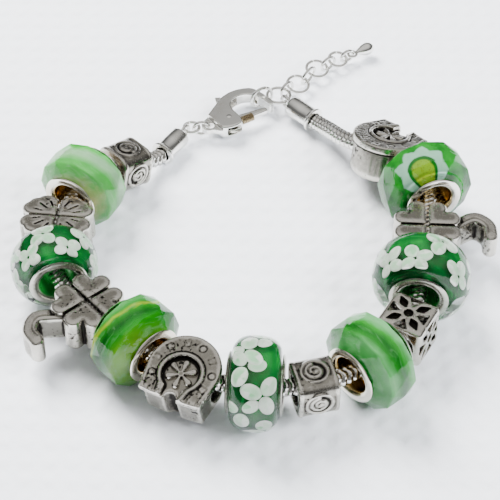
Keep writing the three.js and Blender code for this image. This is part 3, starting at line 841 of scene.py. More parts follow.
@dataclass(frozen=True)
class StarGlass:
    """The body under clear glass with pale zigzag stars round a yellow-green eye."""

    name: str = "star_glass_body"
    deep: Colour = (0.002, 0.11, 0.008)
    mid: Colour = (0.01, 0.27, 0.02)
    pale: Colour = (0.42, 0.60, 0.54)
    eye: Colour = (0.25, 0.37, 0.01)
    reach: float = 4.9
    points: int = 10
    stars: int = 2
    radius: float = 6.6
    front: float = 2.9  # how far the stars lie towards the bead's near end
    turn: float = 0.28  # how far round the bead the first one lies, in radians

    def material(self) -> bpy.types.Material:
        """Builds the material."""
        material, sheet = fresh_material(self.name)
        vector = sheet.attribute("bead", "Vector")
        bead = sheet.add("ShaderNodeSeparateXYZ", {0: vector})
        step = 2 * math.pi / self.stars
        angle = sheet.maths("SUBTRACT", sheet.maths("ARCTAN2", bead.outputs[1], bead.outputs[2]), self.turn)
        whole = sheet.maths("ROUND", sheet.maths("DIVIDE", angle, step))
        across = sheet.maths("MULTIPLY", sheet.maths("SUBTRACT", angle, sheet.maths("MULTIPLY", whole, step)),
                             self.radius)
        down = sheet.maths("ADD", bead.outputs[0], self.front)
        flat = sheet.add("ShaderNodeCombineXYZ", {0: down, 1: across}).outputs[0]
        away = sheet.add("ShaderNodeVectorMath", {0: flat}, operation="LENGTH").outputs["Value"]
        turn = sheet.maths("MULTIPLY", sheet.maths("ARCTAN2", across, down),
                           self.points / (2 * math.pi))
        tooth = sheet.maths("PINGPONG", turn, 0.5)
        soft = sheet.maths("MULTIPLY", sheet.maths("SUBTRACT", sheet.noise(vector, 0.9, 2), 0.5), 0.7)
        edge = sheet.maths("ADD", sheet.maths("MULTIPLY_ADD", tooth, 2.0), soft)
        edge.node.inputs[0].links[0].from_node.inputs[2].default_value = self.reach - 1.0
        inside = sheet.maths("SUBTRACT", edge, away)
        star = sheet.between(inside, -0.12, 0.3)
        ground = sheet.mix(sheet.between(sheet.noise(vector, 0.35, 3), 0.35, 0.65), self.deep, self.mid)
        colour = sheet.mix(sheet.maths("MULTIPLY", star, 0.92), ground, self.pale)
        dark = sheet.between(away, 2.75, 2.45)
        colour = sheet.mix(dark, colour, self.deep)
        middle = sheet.between(away, 2.15, 1.8)
        dots = sheet.between(sheet.noise(vector, 5, 1), 0.6, 0.7)
        colour = sheet.mix(middle, colour, sheet.mix(dots, self.eye, (0.16, 0.12, 0.01)))
        sheet.surface({"Base Color": colour, "Metallic": 0.0, "Roughness": sheet.spread(dots, 0.3, 0.4),
                       "Specular IOR Level": 0.0,
                       "Subsurface Weight": 0.15, "Subsurface Radius": (0.001, 0.002, 0.001),
                       "Subsurface Scale": 1.0})
        return material


@dataclass(frozen=True)
class ClearGlass:
    """The clear glass over a bead's colours."""

    name: str
    tint: Colour
    seeds: float = 0.25
    roughness: float = 0.015

    def material(self) -> bpy.types.Material:
        """Builds the material, with small seeds and a faint waviness in the surface."""
        material, sheet = fresh_material(self.name)
        bead = sheet.attribute("bead", "Vector")
        wave = sheet.noise(bead, 0.55, 2)
        fine = sheet.noise(bead, 6.0, 2)
        height = sheet.maths("ADD", wave, sheet.maths("MULTIPLY", fine, 0.008))
        deeper = tuple(c * 0.82 for c in self.tint)
        colour = sheet.mix(sheet.between(wave, 0.3, 0.7), self.tint, deeper)
        seeded = sheet.between(fine, 0.74, 0.8)
        rough = sheet.spread(seeded, self.roughness, self.roughness + self.seeds * 0.2)
        sheet.surface({"Base Color": colour, "Metallic": 0.0, "Transmission Weight": 1.0, "IOR": 1.47,
                       "Specular IOR Level": 0.22, "Roughness": rough,
                       "Normal": sheet.bump(height, 0.00006)})
        return material


@dataclass(frozen=True)
class PetalGlass:
    """Opal white glass shading to green towards a petal's rim."""

    name: str = "petal_glass"
    white: Colour = (0.82, 0.86, 0.78)
    green: Colour = (0.30, 0.64, 0.34)

    def material(self) -> bpy.types.Material:
        """Builds the material."""
        material, sheet = fresh_material(self.name)
        bead = sheet.attribute("bead", "Vector")
        tone = sheet.attribute("tone")
        cloud = sheet.noise(bead, 0.8, 3, 0.5)
        cloudy = sheet.maths("MULTIPLY", sheet.maths("SUBTRACT", cloud, 0.5), 0.8)
        share = sheet.maths("ADD", tone, cloudy, clamp=True)
        colour = sheet.mix(share, self.white, self.green)
        sheet.surface({"Base Color": colour, "Metallic": 0.0, "Roughness": sheet.spread(cloud, 0.25, 0.45),
                       "Specular IOR Level": 0.1,
                       "Subsurface Weight": 0.2, "Subsurface Radius": (0.001, 0.0015, 0.001),
                       "Subsurface Scale": 1.0})
        return material


@dataclass(frozen=True)
class WovenCloth:
    """The pale cloth that the bracelet lies on."""

    name: str = "pale_cloth"
    light: Colour = (0.88, 0.905, 0.95)
    shade: Colour = (0.80, 0.83, 0.89)
    thread: float = 0.00055

    def material(self) -> bpy.types.Material:
        """Builds the material."""
        material, sheet = fresh_material(self.name)
        place = sheet.object_place()
        waves = []
        for direction in ("X", "Y"):
            threads = {"Vector": place, "Scale": 1 / (self.thread * 20), "Distortion": 1.2, "Detail": 2.0}
            wave = sheet.add("ShaderNodeTexWave", threads, bands_direction=direction)
            waves.append(wave.outputs["Fac"])
        weave = sheet.maths("MULTIPLY", *waves)
        fuzz = sheet.noise(place, 900, 4)
        broad = sheet.noise(place, 18, 2)
        colour = sheet.mix(sheet.spread(broad, 0.2, 0.8), self.light, self.shade)
        colour = sheet.mix(sheet.maths("MULTIPLY", fuzz, 0.25), colour, self.shade)
        height = sheet.maths("ADD", weave, sheet.maths("MULTIPLY", fuzz, 0.6))
        sheet.surface({"Base Color": colour, "Roughness": sheet.spread(fuzz, 0.8, 0.95),
                       "Sheen Weight": 0.2, "Normal": sheet.bump(height, 0.0002, 0.9)})
        return material


@dataclass
class Finishes:
    """Every material of the bracelet, made once."""

    silver: bpy.types.Material = field(default_factory=AntiqueSilver().material)
    plate: bpy.types.Material = field(default_factory=BrightPlate().material)
    # the chain's plate, with painted shade in the gaps between its rows of plates
    chain: bpy.types.Material = field(default_factory=BrightPlate(
        name="chain_plate", silver=(0.84, 0.83, 0.79), smooth=0.1, worn=0.24, relief=True).material)
    gilt: bpy.types.Material = field(default_factory=SleeveMetal(
        "gilt_sleeve", (0.80, 0.77, 0.69), (0.55, 0.40, 0.17), 0.08, 0.2).material)
    antique: bpy.types.Material = field(default_factory=SleeveMetal(
        "antique_sleeve", (0.46, 0.445, 0.40), (0.008, 0.16, 0.02), 0.16, 0.32, glassy_throat=True).material)
    # the spring wire's darker bronze: partly the wire's own colour, partly painted shade inside the clasp
    spring: bpy.types.Material = field(default_factory=BrightPlate(
        name="spring_wire_and_shade", silver=(0.42, 0.33, 0.20), shade=(0.24, 0.18, 0.10), smooth=0.2,
        worn=0.4).material)


# The chain's route


@dataclass(frozen=True)
class Stop:
    """One place on the chain's centre line, in the working frame."""

    name: str
    x: float
    y: float
    z: float
    heading: float

    @property
    def point(self) -> Vector:
        """The stop's place."""
        return Vector((self.x, self.y, self.z))

    @property
    def level(self) -> bool:
        """Whether the chain lies level here."""
        return self.name.startswith(("facet", "flower", "left", "right"))


@dataclass
class Route:
    """The chain's centre line, from the left cap round the front to the right cap."""

    stops: tuple[Stop, ...] = (
        Stop("left_end", -12.9, 27.95, 2.25, -122.8),
        Stop("left_mouth", -14.8, 25.0, 2.25, -123),
        Stop("swirl_1", -20.6, 19.5, 5.2, -136),
        Stop("facet_1", -26.8, 13.1, 6.15, -119),
        Stop("leaf", -30.3, 4.3, 5.85, -96),
        Stop("flower_1", -30.0, -5.0, 6.2, -74),
        Stop("clover_1", -24.25, -13.65, 6.0, -50),
        Stop("facet_2", -16.9, -20.1, 6.25, -41),
        Stop("horseshoe_1", -8.9, -26.3, 6.2, -26),
        Stop("flower_2", 0.8, -28.6, 6.5, -5),
        Stop("swirl_2", 9.2, -28.3, 6.4, 14),
        Stop("facet_3", 17.5, -24.3, 6.5, 37),
        Stop("star", 23.35, -17.4, 6.7, 60),
        Stop("flower_3", 26.0, -8.3, 7.0, 77),
        Stop("clover_2", 27.6, 1.8, 6.4, 87),
        Stop("facet_4", 28.0, 12.55, 6.85, 106),
        Stop("horseshoe_2", 21.5, 21.2, 6.0, 134),
        Stop("bare", 14.6, 27.8, 4.2, 123),
        Stop("right_mouth", 11.0, 33.5, 2.25, 133),
        Stop("right_end", 8.57, 36.02, 2.25, 134),
    )
    handle: float = 0.36  # of a curve's handles, as a share of the distance between two stops
    samples: int = 80  # points between two stops
    line: np.ndarray = field(init=False)
    run: np.ndarray = field(init=False)

    def __post_init__(self) -> None:
        """Works out the line, closely sampled, and the distance along it."""
        points: list[Vector] = []
        for i, (a, b) in enumerate(zip(self.stops, self.stops[1:])):
            reach = self.handle * (b.point - a.point).length
            h1 = a.point + self.tangent(i) * reach
            h2 = b.point - self.tangent(i + 1) * reach
            last = i == len(self.stops) - 2
            for k in range(self.samples + last):
                t = k / self.samples
                points.append(a.point * (1 - t) ** 3 + h1 * 3 * t * (1 - t) ** 2
                              + h2 * 3 * t * t * (1 - t) + b.point * t ** 3)
        self.line = np.array(points)
        steps = np.linalg.norm(np.diff(self.line, axis=0), axis=1)
        self.run = np.concatenate([[0], np.cumsum(steps)])

    @property
    def length(self) -> float:
        """The chain's whole length."""
        return float(self.run[-1])

    def tangent(self, i: int) -> Vector:
        """The chain's direction at a stop, of unit length in plan."""
        stop = self.stops[i]
        before, after = self.stops[max(i - 1, 0)], self.stops[min(i + 1, len(self.stops) - 1)]
        run = math.hypot(after.x - before.x, after.y - before.y)
        slope = 0.0 if stop.level else (after.z - before.z) / run
        a = math.radians(stop.heading)
        return Vector((math.cos(a), math.sin(a), slope))

    def place(self, distance: float) -> Vector:
        """The point a distance along the chain."""
        return Vector([float(np.interp(distance, self.run, self.line[:, k])) for k in range(3)])

    def at(self, distance: float) -> tuple[Vector, Vector]:
        """The point and the direction a distance along the chain."""
        ahead = self.place(distance + 0.2) - self.place(distance - 0.2)
        return self.place(distance), ahead.normalized()

    def stop(self, name: str) -> Stop:
        """The stop of that name."""
        return next(s for s in self.stops if s.name == name)

    def station(self, name: str, drop: float = 0, turn: float = 0, roll: float = 0) -> Matrix:
        """A bead's frame at a stop.

        Args:
            name: the stop.
            drop: how far the bead hangs below the chain.
            turn: degrees from the chain's heading.
            roll: degrees about the chain.

        Returns:
            The frame as a matrix.
        """
        stop = self.stop(name)
        slope = self.tangent(self.stops.index(stop)).z
        turning = turned_by(stop.heading + turn) @ turned_by(-math.degrees(math.atan(slope)), "Y")
        return moved(stop.x, stop.y, stop.z - drop) @ turning @ turned_by(roll, "X")


@dataclass
class SnakeChain:
    """The round snake chain: rows of small plates, each row half a pitch on from the next."""

    radius: float = 1.42
    end_radius: float = 1.05
    depth: float = 0.34
    pitch: float = 0.95
    rows: int = 6
    sides: int = 36
    steps_per_pitch: int = 7
    plain_end: float = 3.8

    def surface(self, s: float, angle: float, length: float) -> tuple[float, float]:
        """The radius and the relief at a distance along the chain and an angle round it."""
        if s < self.plain_end or s > length - self.plain_end:
            return self.end_radius, 1.0
        shift = 0.25 * (1 - math.cos(self.rows / 2 * angle))
        along = abs(math.sin(math.pi * (s / self.pitch + shift))) ** 0.7
        across = 0.45 + 0.55 * abs(math.cos(self.rows / 2 * angle)) ** 0.6
        high = along * across
        return self.radius - self.depth * (1 - high), high

    def build(self, route: Route, finishes: Finishes) -> None:
        """Bends a flat grid round the route."""
        rings = round(route.length / self.pitch * self.steps_per_pitch)
        bm = bmesh.new()
        bmesh.ops.create_grid(bm, x_segments=rings, y_segments=self.sides, size=0.5)
        frames = []
        for i in range(rings + 1):
            point, ahead = route.at(route.length * i / rings)
            side = Vector((0, 0, 1)).cross(ahead).normalized()
            frames.append((point, side, ahead.cross(side)))
        # the plates' height, which the chain's finish turns into painted shade in the gaps between rows
        relief = bm.verts.layers.float.new("relief")
        for v in bm.verts:
            i, angle = round((v.co.x + 0.5) * rings), (v.co.y + 0.5) * 2 * math.pi
            point, side, above = frames[i]
            radius, v[relief] = self.surface(route.length * i / rings, angle, route.length)
            v.co = point + (side * math.cos(angle) + above * math.sin(angle)) * radius
        bmesh.ops.remove_doubles(bm, verts=bm.verts, dist=1e-3)
        bmesh.ops.holes_fill(bm, edges=[e for e in bm.edges if e.is_boundary], sides=0)
        bmesh.ops.recalc_face_normals(bm, faces=bm.faces)
        finish("snake_chain_plates", plain_mesh(bm), Matrix.Identity(4), finishes.chain,
               ["snake_chain"], crease=80)


# Glass beads


class GlassKind(Enum):
    """The two forms of glass bead."""

    FACET = "facet"
    FLOWER = "flower"


@dataclass
class Sleeve:
    """The metal sleeve with two flanges that lines a glass bead's hole."""

    length: float
    inside: float = 2.85
    wall: float = 0.3
    flange: float = 4.5
    rolled: bool = False

    def profile(self) -> list[Point2]:
        """The closed profile, from the throat over the right flange to the left one."""
        half, outer = self.length / 2, self.inside + self.wall
        if self.rolled:
            right = [(half - 0.9, self.inside), (half - 0.5, self.inside + 0.1), (half - 0.28, outer),
                     (half - 0.08, outer + 0.35), (half, outer + 0.65), (half - 0.02, outer + 0.9),
                     (half - 0.12, self.flange - 0.15), (half - 0.26, self.flange),
                     (half - 0.38, self.flange - 0.04), (half - 0.4, self.flange - 0.3),
                     (half - 0.36, outer + 0.15), (half - 0.42, outer)]
        else:
            right = [(half - 0.8, self.inside), (half - 0.4, self.inside + 0.08), (half - 0.2, outer - 0.03),
                     (half - 0.03, outer + 0.3), (half, outer + 0.45), (half - 0.02, outer + 0.65),
                     (half - 0.1, self.flange - 0.12), (half - 0.16, self.flange - 0.03),
                     (half - 0.26, self.flange), (half - 0.33, self.flange - 0.1),
                     (half - 0.3, self.flange - 0.3), (half - 0.3, outer + 0.15), (half - 0.36, outer)]
        left = [(-x, r) for x, r in reversed(right)]
        return [*right, *left, right[0]]

    def build(self, number: int, place: Matrix, finishes: Finishes) -> None:
        """Turns the sleeve and puts it in its bead."""
        material = finishes.antique if self.rolled else finishes.gilt
        finish(f"sleeve_{number}", plain_mesh(turned(self.profile(), 64)), place, material,
               [f"core_{number}"], crease=55)


@dataclass
class FacetBead:
    """Faceted glass: a ring of flat diamonds round the widest part and kites to each end."""

    radius: float
    length: float
    facets: int = 12
    bore: float = 3.55
    half_diamond: float = 2.3
    flange: float = 4.5
    depth: float = 0.965
    plain_body: bool = False

    def ends(self) -> float:
        """Half the glass's own length."""
        return self.length / 2 - 0.6

    def cut(self, radius: float, end: float, edge: float, bore: float, bevel: float) -> bmesh.types.BMesh:
        """Cuts one faceted form with a bore.

        Args:
            radius: to the middle of the widest flats.
            end: half its length.
            edge: its radius at both ends.
            bore: the radius of its hole.
            bevel: the width of the rounding on its edges.

        Returns:
            The new bmesh.
        """
        step = 2 * math.pi / self.facets
        bm = bmesh.new()
        rings = [(0.0, radius / math.cos(step / 2), 0.5), (self.half_diamond, radius, 0.0),
                 (-self.half_diamond, radius, 0.0), (end, edge, 0.5), (-end, edge, 0.5)]
        for x, ring, offset in rings:
            lay = turned_by(math.degrees(step * offset), "X") @ turned_by(90, "Y")
            bmesh.ops.create_circle(bm, segments=self.facets, radius=ring, matrix=moved(x) @ lay)
        bmesh.ops.convex_hull(bm, input=bm.verts[:], use_existing_faces=False)
        bmesh.ops.dissolve_limit(bm, angle_limit=math.radians(1), verts=bm.verts[:], edges=bm.edges[:])
        ends = [f for f in bm.faces if abs(f.normal.x) > 0.99]
        bmesh.ops.inset_individual(bm, faces=ends, thickness=edge - bore)
        rims = list({e for f in ends for e in f.edges})
        bmesh.ops.delete(bm, geom=ends, context="FACES_ONLY")
        bmesh.ops.bridge_loops(bm, edges=rims)
        outer = [e for e in bm.edges if min(math.hypot(v.co.y, v.co.z) for v in e.verts) > bore + 0.25]
        bmesh.ops.bevel(bm, geom=outer, offset=bevel, segments=2, profile=0.5, affect="EDGES", material=-1)
        bmesh.ops.recalc_face_normals(bm, faces=bm.faces)
        return bm

    def shell(self) -> bmesh.types.BMesh:
        """The cut clear glass."""
        return self.cut(self.radius, self.ends(), self.flange - 0.1, self.bore, 0.08)

    def body(self) -> bmesh.types.BMesh:
        """The coloured glass under it, which follows the facets or is a plain barrel."""
        if self.plain_body:
            end, edge, top = self.ends() - 0.15, self.flange - 0.25, self.radius * 0.93
            belly = [(end * t / 12, edge + (top - edge) * math.sqrt(1 - abs(t / 12) ** 2.2))
                     for t in range(-12, 13)]
            bore = self.bore + 0.12
            return turned([(-end, bore), *belly, (end, bore), (-end, bore)], 72)
        return self.cut(self.radius * self.depth, self.ends() - 0.15, self.flange - 0.4, self.bore + 0.12,
                        0.16)


@dataclass
class FlowerBead:
    """Lampwork glass: flowers laid on a dark body under a thick clear casing."""

    radius: float
    length: float
    bore: float = 3.55
    flange: float = 4.5
    flowers: int = 8
    start: float = 8.0
    petal: tuple[float, float, float] = (1.15, 0.95, 0.34)
    petals: int = 4
    spread: float = 1.45
    fullness: float = 2.6

    def ends(self) -> float:
        """Half the glass's own length."""
        return self.length / 2 - 0.6

    def barrel(self, top: float, edge: float, end: float, bore: float) -> bmesh.types.BMesh:
        """A hollow barrel of glass.

        Args:
            top: its radius at the middle.
            edge: its radius at both ends.
            end: half its length.
            bore: the radius of its hole.

        Returns:
            The new bmesh.
        """
        right = (0.2, 0.42, 0.62, 0.77, 0.88, 0.95, 0.985, 1)
        shares = [*(-t for t in reversed(right)), 0, *right]
        belly = [(end * t, edge + (top - edge) * math.sqrt(1 - abs(t) ** self.fullness)) for t in shares]
        return turned([(-end, bore), *belly, (end, bore), (-end, bore)], 96)

    def shell(self) -> bmesh.types.BMesh:
        """The clear casing."""
        return self.barrel(self.radius, self.flange + 0.2, self.ends(), self.bore)

    def body(self) -> bmesh.types.BMesh:
        """The dark body under the flowers."""
        return self.barrel(self.radius * 0.70, self.flange - 0.35, self.ends() - 0.15, self.bore + 0.12)

    def blooms(self) -> bpy.types.Mesh:
        """The petals of all flowers, with their greenness as the attribute tone."""
        bm = bmesh.new()
        tone = bm.verts.layers.float.new("tone")
        rng = np.random.default_rng(int(self.radius * 100 + self.length * 10))
        depth = self.radius * 0.8
        for i in range(self.flowers):
            across = self.start + 360 * i / self.flowers + rng.uniform(-5, 5)
            along = (self.spread if i % 2 else -self.spread) + rng.uniform(-0.25, 0.25)
            spin = rng.uniform(0, 90)
            for k in range(self.petals):
                a = spin + 360 * k / self.petals + rng.uniform(-10, 10)
                reach = self.petal[0] * rng.uniform(1.0, 1.12)
                wide = rng.uniform(0.84, 1.02)
                greenness = rng.uniform(0.1, 1.0)
                before = len(bm.verts)
                long, broad, thick = self.petal
                place = (turned_by(across, "X") @ moved(along, 0, depth) @ turned_by(a) @ moved(reach)
                         @ turned_by(9, "Y") @ sized(long * wide, broad * wide, thick))
                bmesh.ops.create_uvsphere(bm, u_segments=20, v_segments=10, radius=1, matrix=place)
                bm.verts.ensure_lookup_table()
                for v in bm.verts[before:]:
                    local = place.inverted() @ v.co
                    rim = min(1.0, max(0.0, (math.hypot(local.x, local.y) - 0.55) / 0.4))
                    v[tone] = greenness * (1 - 0.8 * rim) + 0.35 * max(0.0, -local.x) ** 3
        limit = self.ends() - 0.35
        for v in bm.verts:
            r = math.hypot(v.co.y, v.co.z)
            wanted = depth + (r - depth) * 0.6
            if abs(v.co.x) > limit:
                v.co.x = math.copysign(limit + (abs(v.co.x) - limit) * 0.1, v.co.x)
            share = wanted / r if r else 1
            v.co.y, v.co.z = v.co.y * share, v.co.z * share
        return plain_mesh(bm)


def glass_green(*stops: tuple[float, float, float, float]) -> Ramp:
    """Colour stops from rows of place, red, green and blue."""
    return [(at, (r, g, b)) for at, r, g, b in stops]


@dataclass
class GlassBeads:
    """All seven glass beads with their sleeves."""

    rows: tuple[tuple[str, GlassKind, float, float, float], ...] = (
        ("facet_1", GlassKind.FACET, 6.6, 8.8, 2),
        ("flower_1", GlassKind.FLOWER, 6.7, 8.2, -1.5),
        ("facet_2", GlassKind.FACET, 6.7, 8.8, -5.5),
        ("flower_2", GlassKind.FLOWER, 7.0, 8.3, 0),
        ("facet_3", GlassKind.FACET, 7.0, 8.8, 5),
        ("flower_3", GlassKind.FLOWER, 7.5, 9.4, 3.5),
        ("facet_4", GlassKind.FACET, 7.2, 8.6, 1.5),
    )

    flower_rows: tuple[dict[str, Any], ...] = (
        {"petal": (1.1, 0.95, 0.34), "flowers": 12, "start": 8.0, "spread": 1.45},
        {"petal": (1.5, 1.1, 0.36), "flowers": 11, "start": 20.0, "spread": 1.3, "petals": 3},
        {"petal": (1.3, 1.05, 0.36), "flowers": 11, "start": -12.0, "spread": 1.75},
    )

    def facet_body(self, number: int, half: float) -> bpy.types.Material:
        """The coloured body of each faceted bead."""
        if number == 1:
            return StreakedGlass("milky_glass_body", half, glass_green(
                (0.0, 0.005, 0.27, 0.01), (0.15, 0.02, 0.40, 0.03), (0.27, 0.10, 0.52, 0.10),
                (0.38, 0.34, 0.55, 0.34), (0.50, 0.36, 0.58, 0.35), (0.68, 0.07, 0.44, 0.07),
                (0.90, 0.13, 0.48, 0.12), (1.0, 0.55, 0.55, 0.24)), wander=0.24, slant=0.012,
                streak=(0.46, 0.62, 0.44), streak_share=0.3).material()
        if number == 2:
            return StreakedGlass("swirled_glass_body", half, glass_green(
                (0.0, 0.02, 0.24, 0.03), (0.20, 0.10, 0.36, 0.11), (0.33, 0.02, 0.26, 0.02),
                (0.40, 0.40, 0.42, 0.01), (0.46, 0.01, 0.22, 0.005), (0.62, 0.0, 0.09, 0.004),
                (0.80, 0.0, 0.24, 0.004), (1.0, 0.14, 0.30, 0.004)), wander=0.26, slant=-0.03,
                streak=(0.18, 0.44, 0.20), streak_share=0.3, glow=0.1).material()
        if number == 3:
            return StreakedGlass("banded_glass_body", half, glass_green(
                (0.0, 0.03, 0.30, 0.04), (0.14, 0.14, 0.44, 0.16), (0.28, 0.01, 0.20, 0.012),
                (0.42, 0.001, 0.12, 0.006), (0.56, 0.03, 0.32, 0.03), (0.72, 0.24, 0.52, 0.27),
                (0.86, 0.20, 0.50, 0.23), (1.0, 0.0, 0.10, 0.006)), wander=0.2, slant=0.02,
                streak=(0.20, 0.50, 0.22), streak_share=0.2, glow=0.1).material()
        return StarGlass().material()

    def build(self, route: Route, finishes: Finishes) -> None:
        """Builds each bead in its place."""
        counts = {GlassKind.FACET: 0, GlassKind.FLOWER: 0}
        tints = ((0.88, 0.97, 0.89), (0.66, 0.90, 0.68), (0.72, 0.93, 0.75), (0.72, 0.93, 0.76))
        casing = ClearGlass("clear_casing", (0.93, 0.98, 0.94)).material()
        dark = StreakedGlass("flower_glass_body", 3.2, glass_green(
            (0.0, 0.0, 0.05, 0.008), (0.4, 0.0, 0.09, 0.012), (0.7, 0.001, 0.15, 0.02),
            (1.0, 0.0, 0.05, 0.008)), wander=0.6, streak=(0.005, 0.26, 0.04), streak_share=0.5,
            glow=0.0).material()
        petals = PetalGlass().material()
        for i, (stop, kind, radius, length, turn) in enumerate(self.rows, start=1):
            counts[kind] += 1
            number = counts[kind]
            place = route.station(stop, drop=route.stop(stop).z - radius, turn=turn)
            Sleeve(length, rolled=kind is GlassKind.FLOWER).build(i, place, finishes)
            if kind is GlassKind.FACET:
                bead = FacetBead(radius, length, plain_body=number == 4)
                glass = ClearGlass(f"facet_casing_{number}", tints[number - 1]).material()
                finish(f"facet_casing_{number}", plain_mesh(bead.shell()), place, glass,
                       [f"facet_glass_{number}"], crease=8)
                finish(f"facet_body_{number}", plain_mesh(bead.body()), place,
                       self.facet_body(number, bead.ends()), crease=60)
            else:
                bead = FlowerBead(radius, length, **self.flower_rows[number - 1])
                finish(f"flower_casing_{number}", plain_mesh(bead.shell()), place, casing,
                       [f"flower_glass_{number}"], crease=60)
                finish(f"flower_body_{number}", plain_mesh(bead.body()), place, dark,
                       crease=60)
                finish(f"flower_petals_{number}", bead.blooms(), place, petals, crease=80)


# Cast charms


@dataclass
class SwirlBead:
    """Rounded square bead with a raised spiral in a round field on four faces."""

    size: float = 6.9
    length: float = 6.1
    bore: float = 2.35
    field_radius: float = 1.95
    spiral_radius: float = 1.4
    turns: float = 1.7

    def spiral(self) -> bmesh.types.BMesh:
        """One spiral ridge with its round border, about the origin."""
        bm = hoop(self.field_radius, 0.2, steps=48, sides=10)
        steps = 44
        path = []
        for i in range(steps + 1):
            share = i / steps
            r = self.spiral_radius * (1 - 0.82 * share)
            a = math.radians(90 + 360 * self.turns * share)
            path.append(Vector((r * math.cos(a), r * math.sin(a), 0)))
        join(bm, swept(path, round_section(0.27)))
        join(bm, rod(0.34, 0.5, 16, "Z"), moved(path[-1].x, path[-1].y))
        return bm

    def build(self, number: int, place: Matrix, finishes: Finishes) -> None:
        """Casts the bead."""
        half = self.size / 2
        bm = rounded_bar(self.size - 0.12, self.size - 0.12, self.length - 0.3, 1.9, 0.3)
        for side in (-1, 1):
            collar = rounded_bar(self.size + 0.08, self.size + 0.08, 0.8, 2.0, 0.34)
            join(bm, collar, moved(side * (self.length / 2 - 0.4)))
        for k in range(4):
            join(bm, self.spiral(), turned_by(90 * k, "X") @ moved(0, 0, half - 0.06))
        cuts = rod(self.bore, self.length * 2)
        for k in range(4):
            trench = hoop(self.field_radius + 0.3, 0.13, steps=48, sides=8)
            join(cuts, trench, turned_by(90 * k, "X") @ moved(0, 0, half))
        mesh = Casting(0.145, 1).cast(bm, cuts)
        finish(f"swirl_cast_{number}", mesh, place, finishes.silver,
               [f"swirl_bead_{number}"])


@dataclass
class LeafCharm:
    """Four broad leaves in a square, each with three short veins."""

    half: float = 2.9
    core: float = 5.4
    block_side: float = 7.0
    bore: float = 2.35

    def build(self, place: Matrix, finishes: Finishes) -> None:
        """Casts the charm."""
        bm = block((self.block_side, self.block_side, self.core), 0.5, 3)
        cuts = rod(self.bore, 20)
        shape = sized(0.84, 1.08, 1)
        for k in range(4):
            leaf = pad(1.75, (3.75, 1.25), (0.25, 0.0), self.half, 0.35)
            join(leaf, pad(1.75, (3.75, -1.15), (0.25, 0.0), self.half, 0.35))
            join(leaf, pad(1.5, (4.25, 0.1), (0.25, 0.0), self.half, 0.35))
            join(bm, leaf, shape @ turned_by(45 + 90 * k))
            for fan in (-24, 0, 24):
                for side in (-1, 1):
                    vein = block((1.6 if fan else 1.9, 0.27, 0.8), 0.05, 1)
                    join(cuts, vein, shape @ turned_by(45 + 90 * k + fan) @ moved(3.1, 0, side * self.half))
            for side in (-1, 1):
                gap = block((5.6, 0.28, 1.1), 0.05, 1)
                join(cuts, gap, shape @ turned_by(90 * k) @ moved(2.8, 0, side * self.half))
        mesh = Casting(0.135, 1).cast(bm, cuts)
        finish("leaf_cast", mesh, place, finishes.silver, ["leaf_charm"])


@dataclass
class CloverCharm:
    """Four heart-shaped leaves on a hub, with a curled stem."""

    hand: int
    half: float = 2.9
    core: float = 5.4
    bore: float = 2.35
    lobe: float = 1.5
    lobe_at: Point2 = (3.75, 1.5)
    stem_line: tuple[Point2, ...] = ((0.6, -2.6), (-1.6, -5.2), (-2.9, -7.6), (-1.4, -9.6), (0.9, -9.9))

    def stem(self) -> tuple[bmesh.types.BMesh, bmesh.types.BMesh]:
        """The curled stem, a broad strap, and the line to engrave along its inner side."""
        points = [Vector((x * self.hand, y, -0.3)) for x, y in self.stem_line]
        path = []
        for i in range(len(points) - 1):
            p0, p1, p2 = points[max(i - 1, 0)], points[i], points[i + 1]
            p3 = points[min(i + 2, len(points) - 1)]
            for k in range(8):
                t = k / 8
                path.append(0.5 * ((2 * p1) + (p2 - p0) * t + (2 * p0 - 5 * p1 + 4 * p2 - p3) * t * t
                                   + (3 * p1 - p0 - 3 * p2 + p3) * t ** 3))
        path.append(points[-1])
        section = [(-1.1, -1.9), (-0.7, -2.35), (0.7, -2.35), (1.1, -1.9), (1.1, 1.9), (0.95, 2.2),
                   (0.6, 2.4), (-0.6, 2.4), (-0.95, 2.2), (-1.1, 1.9)]
        bm = swept(path, section)
        join(bm, hull([(1.1, (path[-1].x, path[-1].y, -2.2)), (1.1, (path[-1].x, path[-1].y, 1.6)),
                       (0.7, (path[-1].x, path[-1].y, 2.05))], 24))
        inner = [point + Vector((0, 0, 2.4)) for point in path[6:-2]]
        return bm, swept([point + (Vector((2.2 * self.hand, -5.5, 2.1)) - point).normalized() * 0.5
                          for point in inner], round_section(0.17, 8))

    def build(self, number: int, place: Matrix, finishes: Finishes) -> None:
        """Casts the charm."""
        bm = rod(3.3, self.core, 40, "Z")
        cuts = rod(self.bore, 20)
        x, y = self.lobe_at
        heart = [(0.3, 0), *arc(self.lobe, -125, 75, (x, -y), 18), *arc(self.lobe, -75, 125, (x, y), 18)]
        for k in range(4):
            join(bm, plate(heart, 2 * self.half, 0.5, 4), turned_by(45 + 90 * k))
            for side in (-1, 1):
                groove = block((6.4, 0.5, 1.5), 0.12, 2)
                join(cuts, groove, turned_by(90 * k) @ moved(3.3, 0, side * self.half))
        stem, line = self.stem()
        join(bm, stem)
        join(cuts, line)
        mesh = Casting(0.16, 2, cutting=Cutting.EXACT).cast(bm, cuts)
        finish(f"clover_cast_{number}", mesh, place, finishes.silver,
               [f"clover_charm_{number}"])


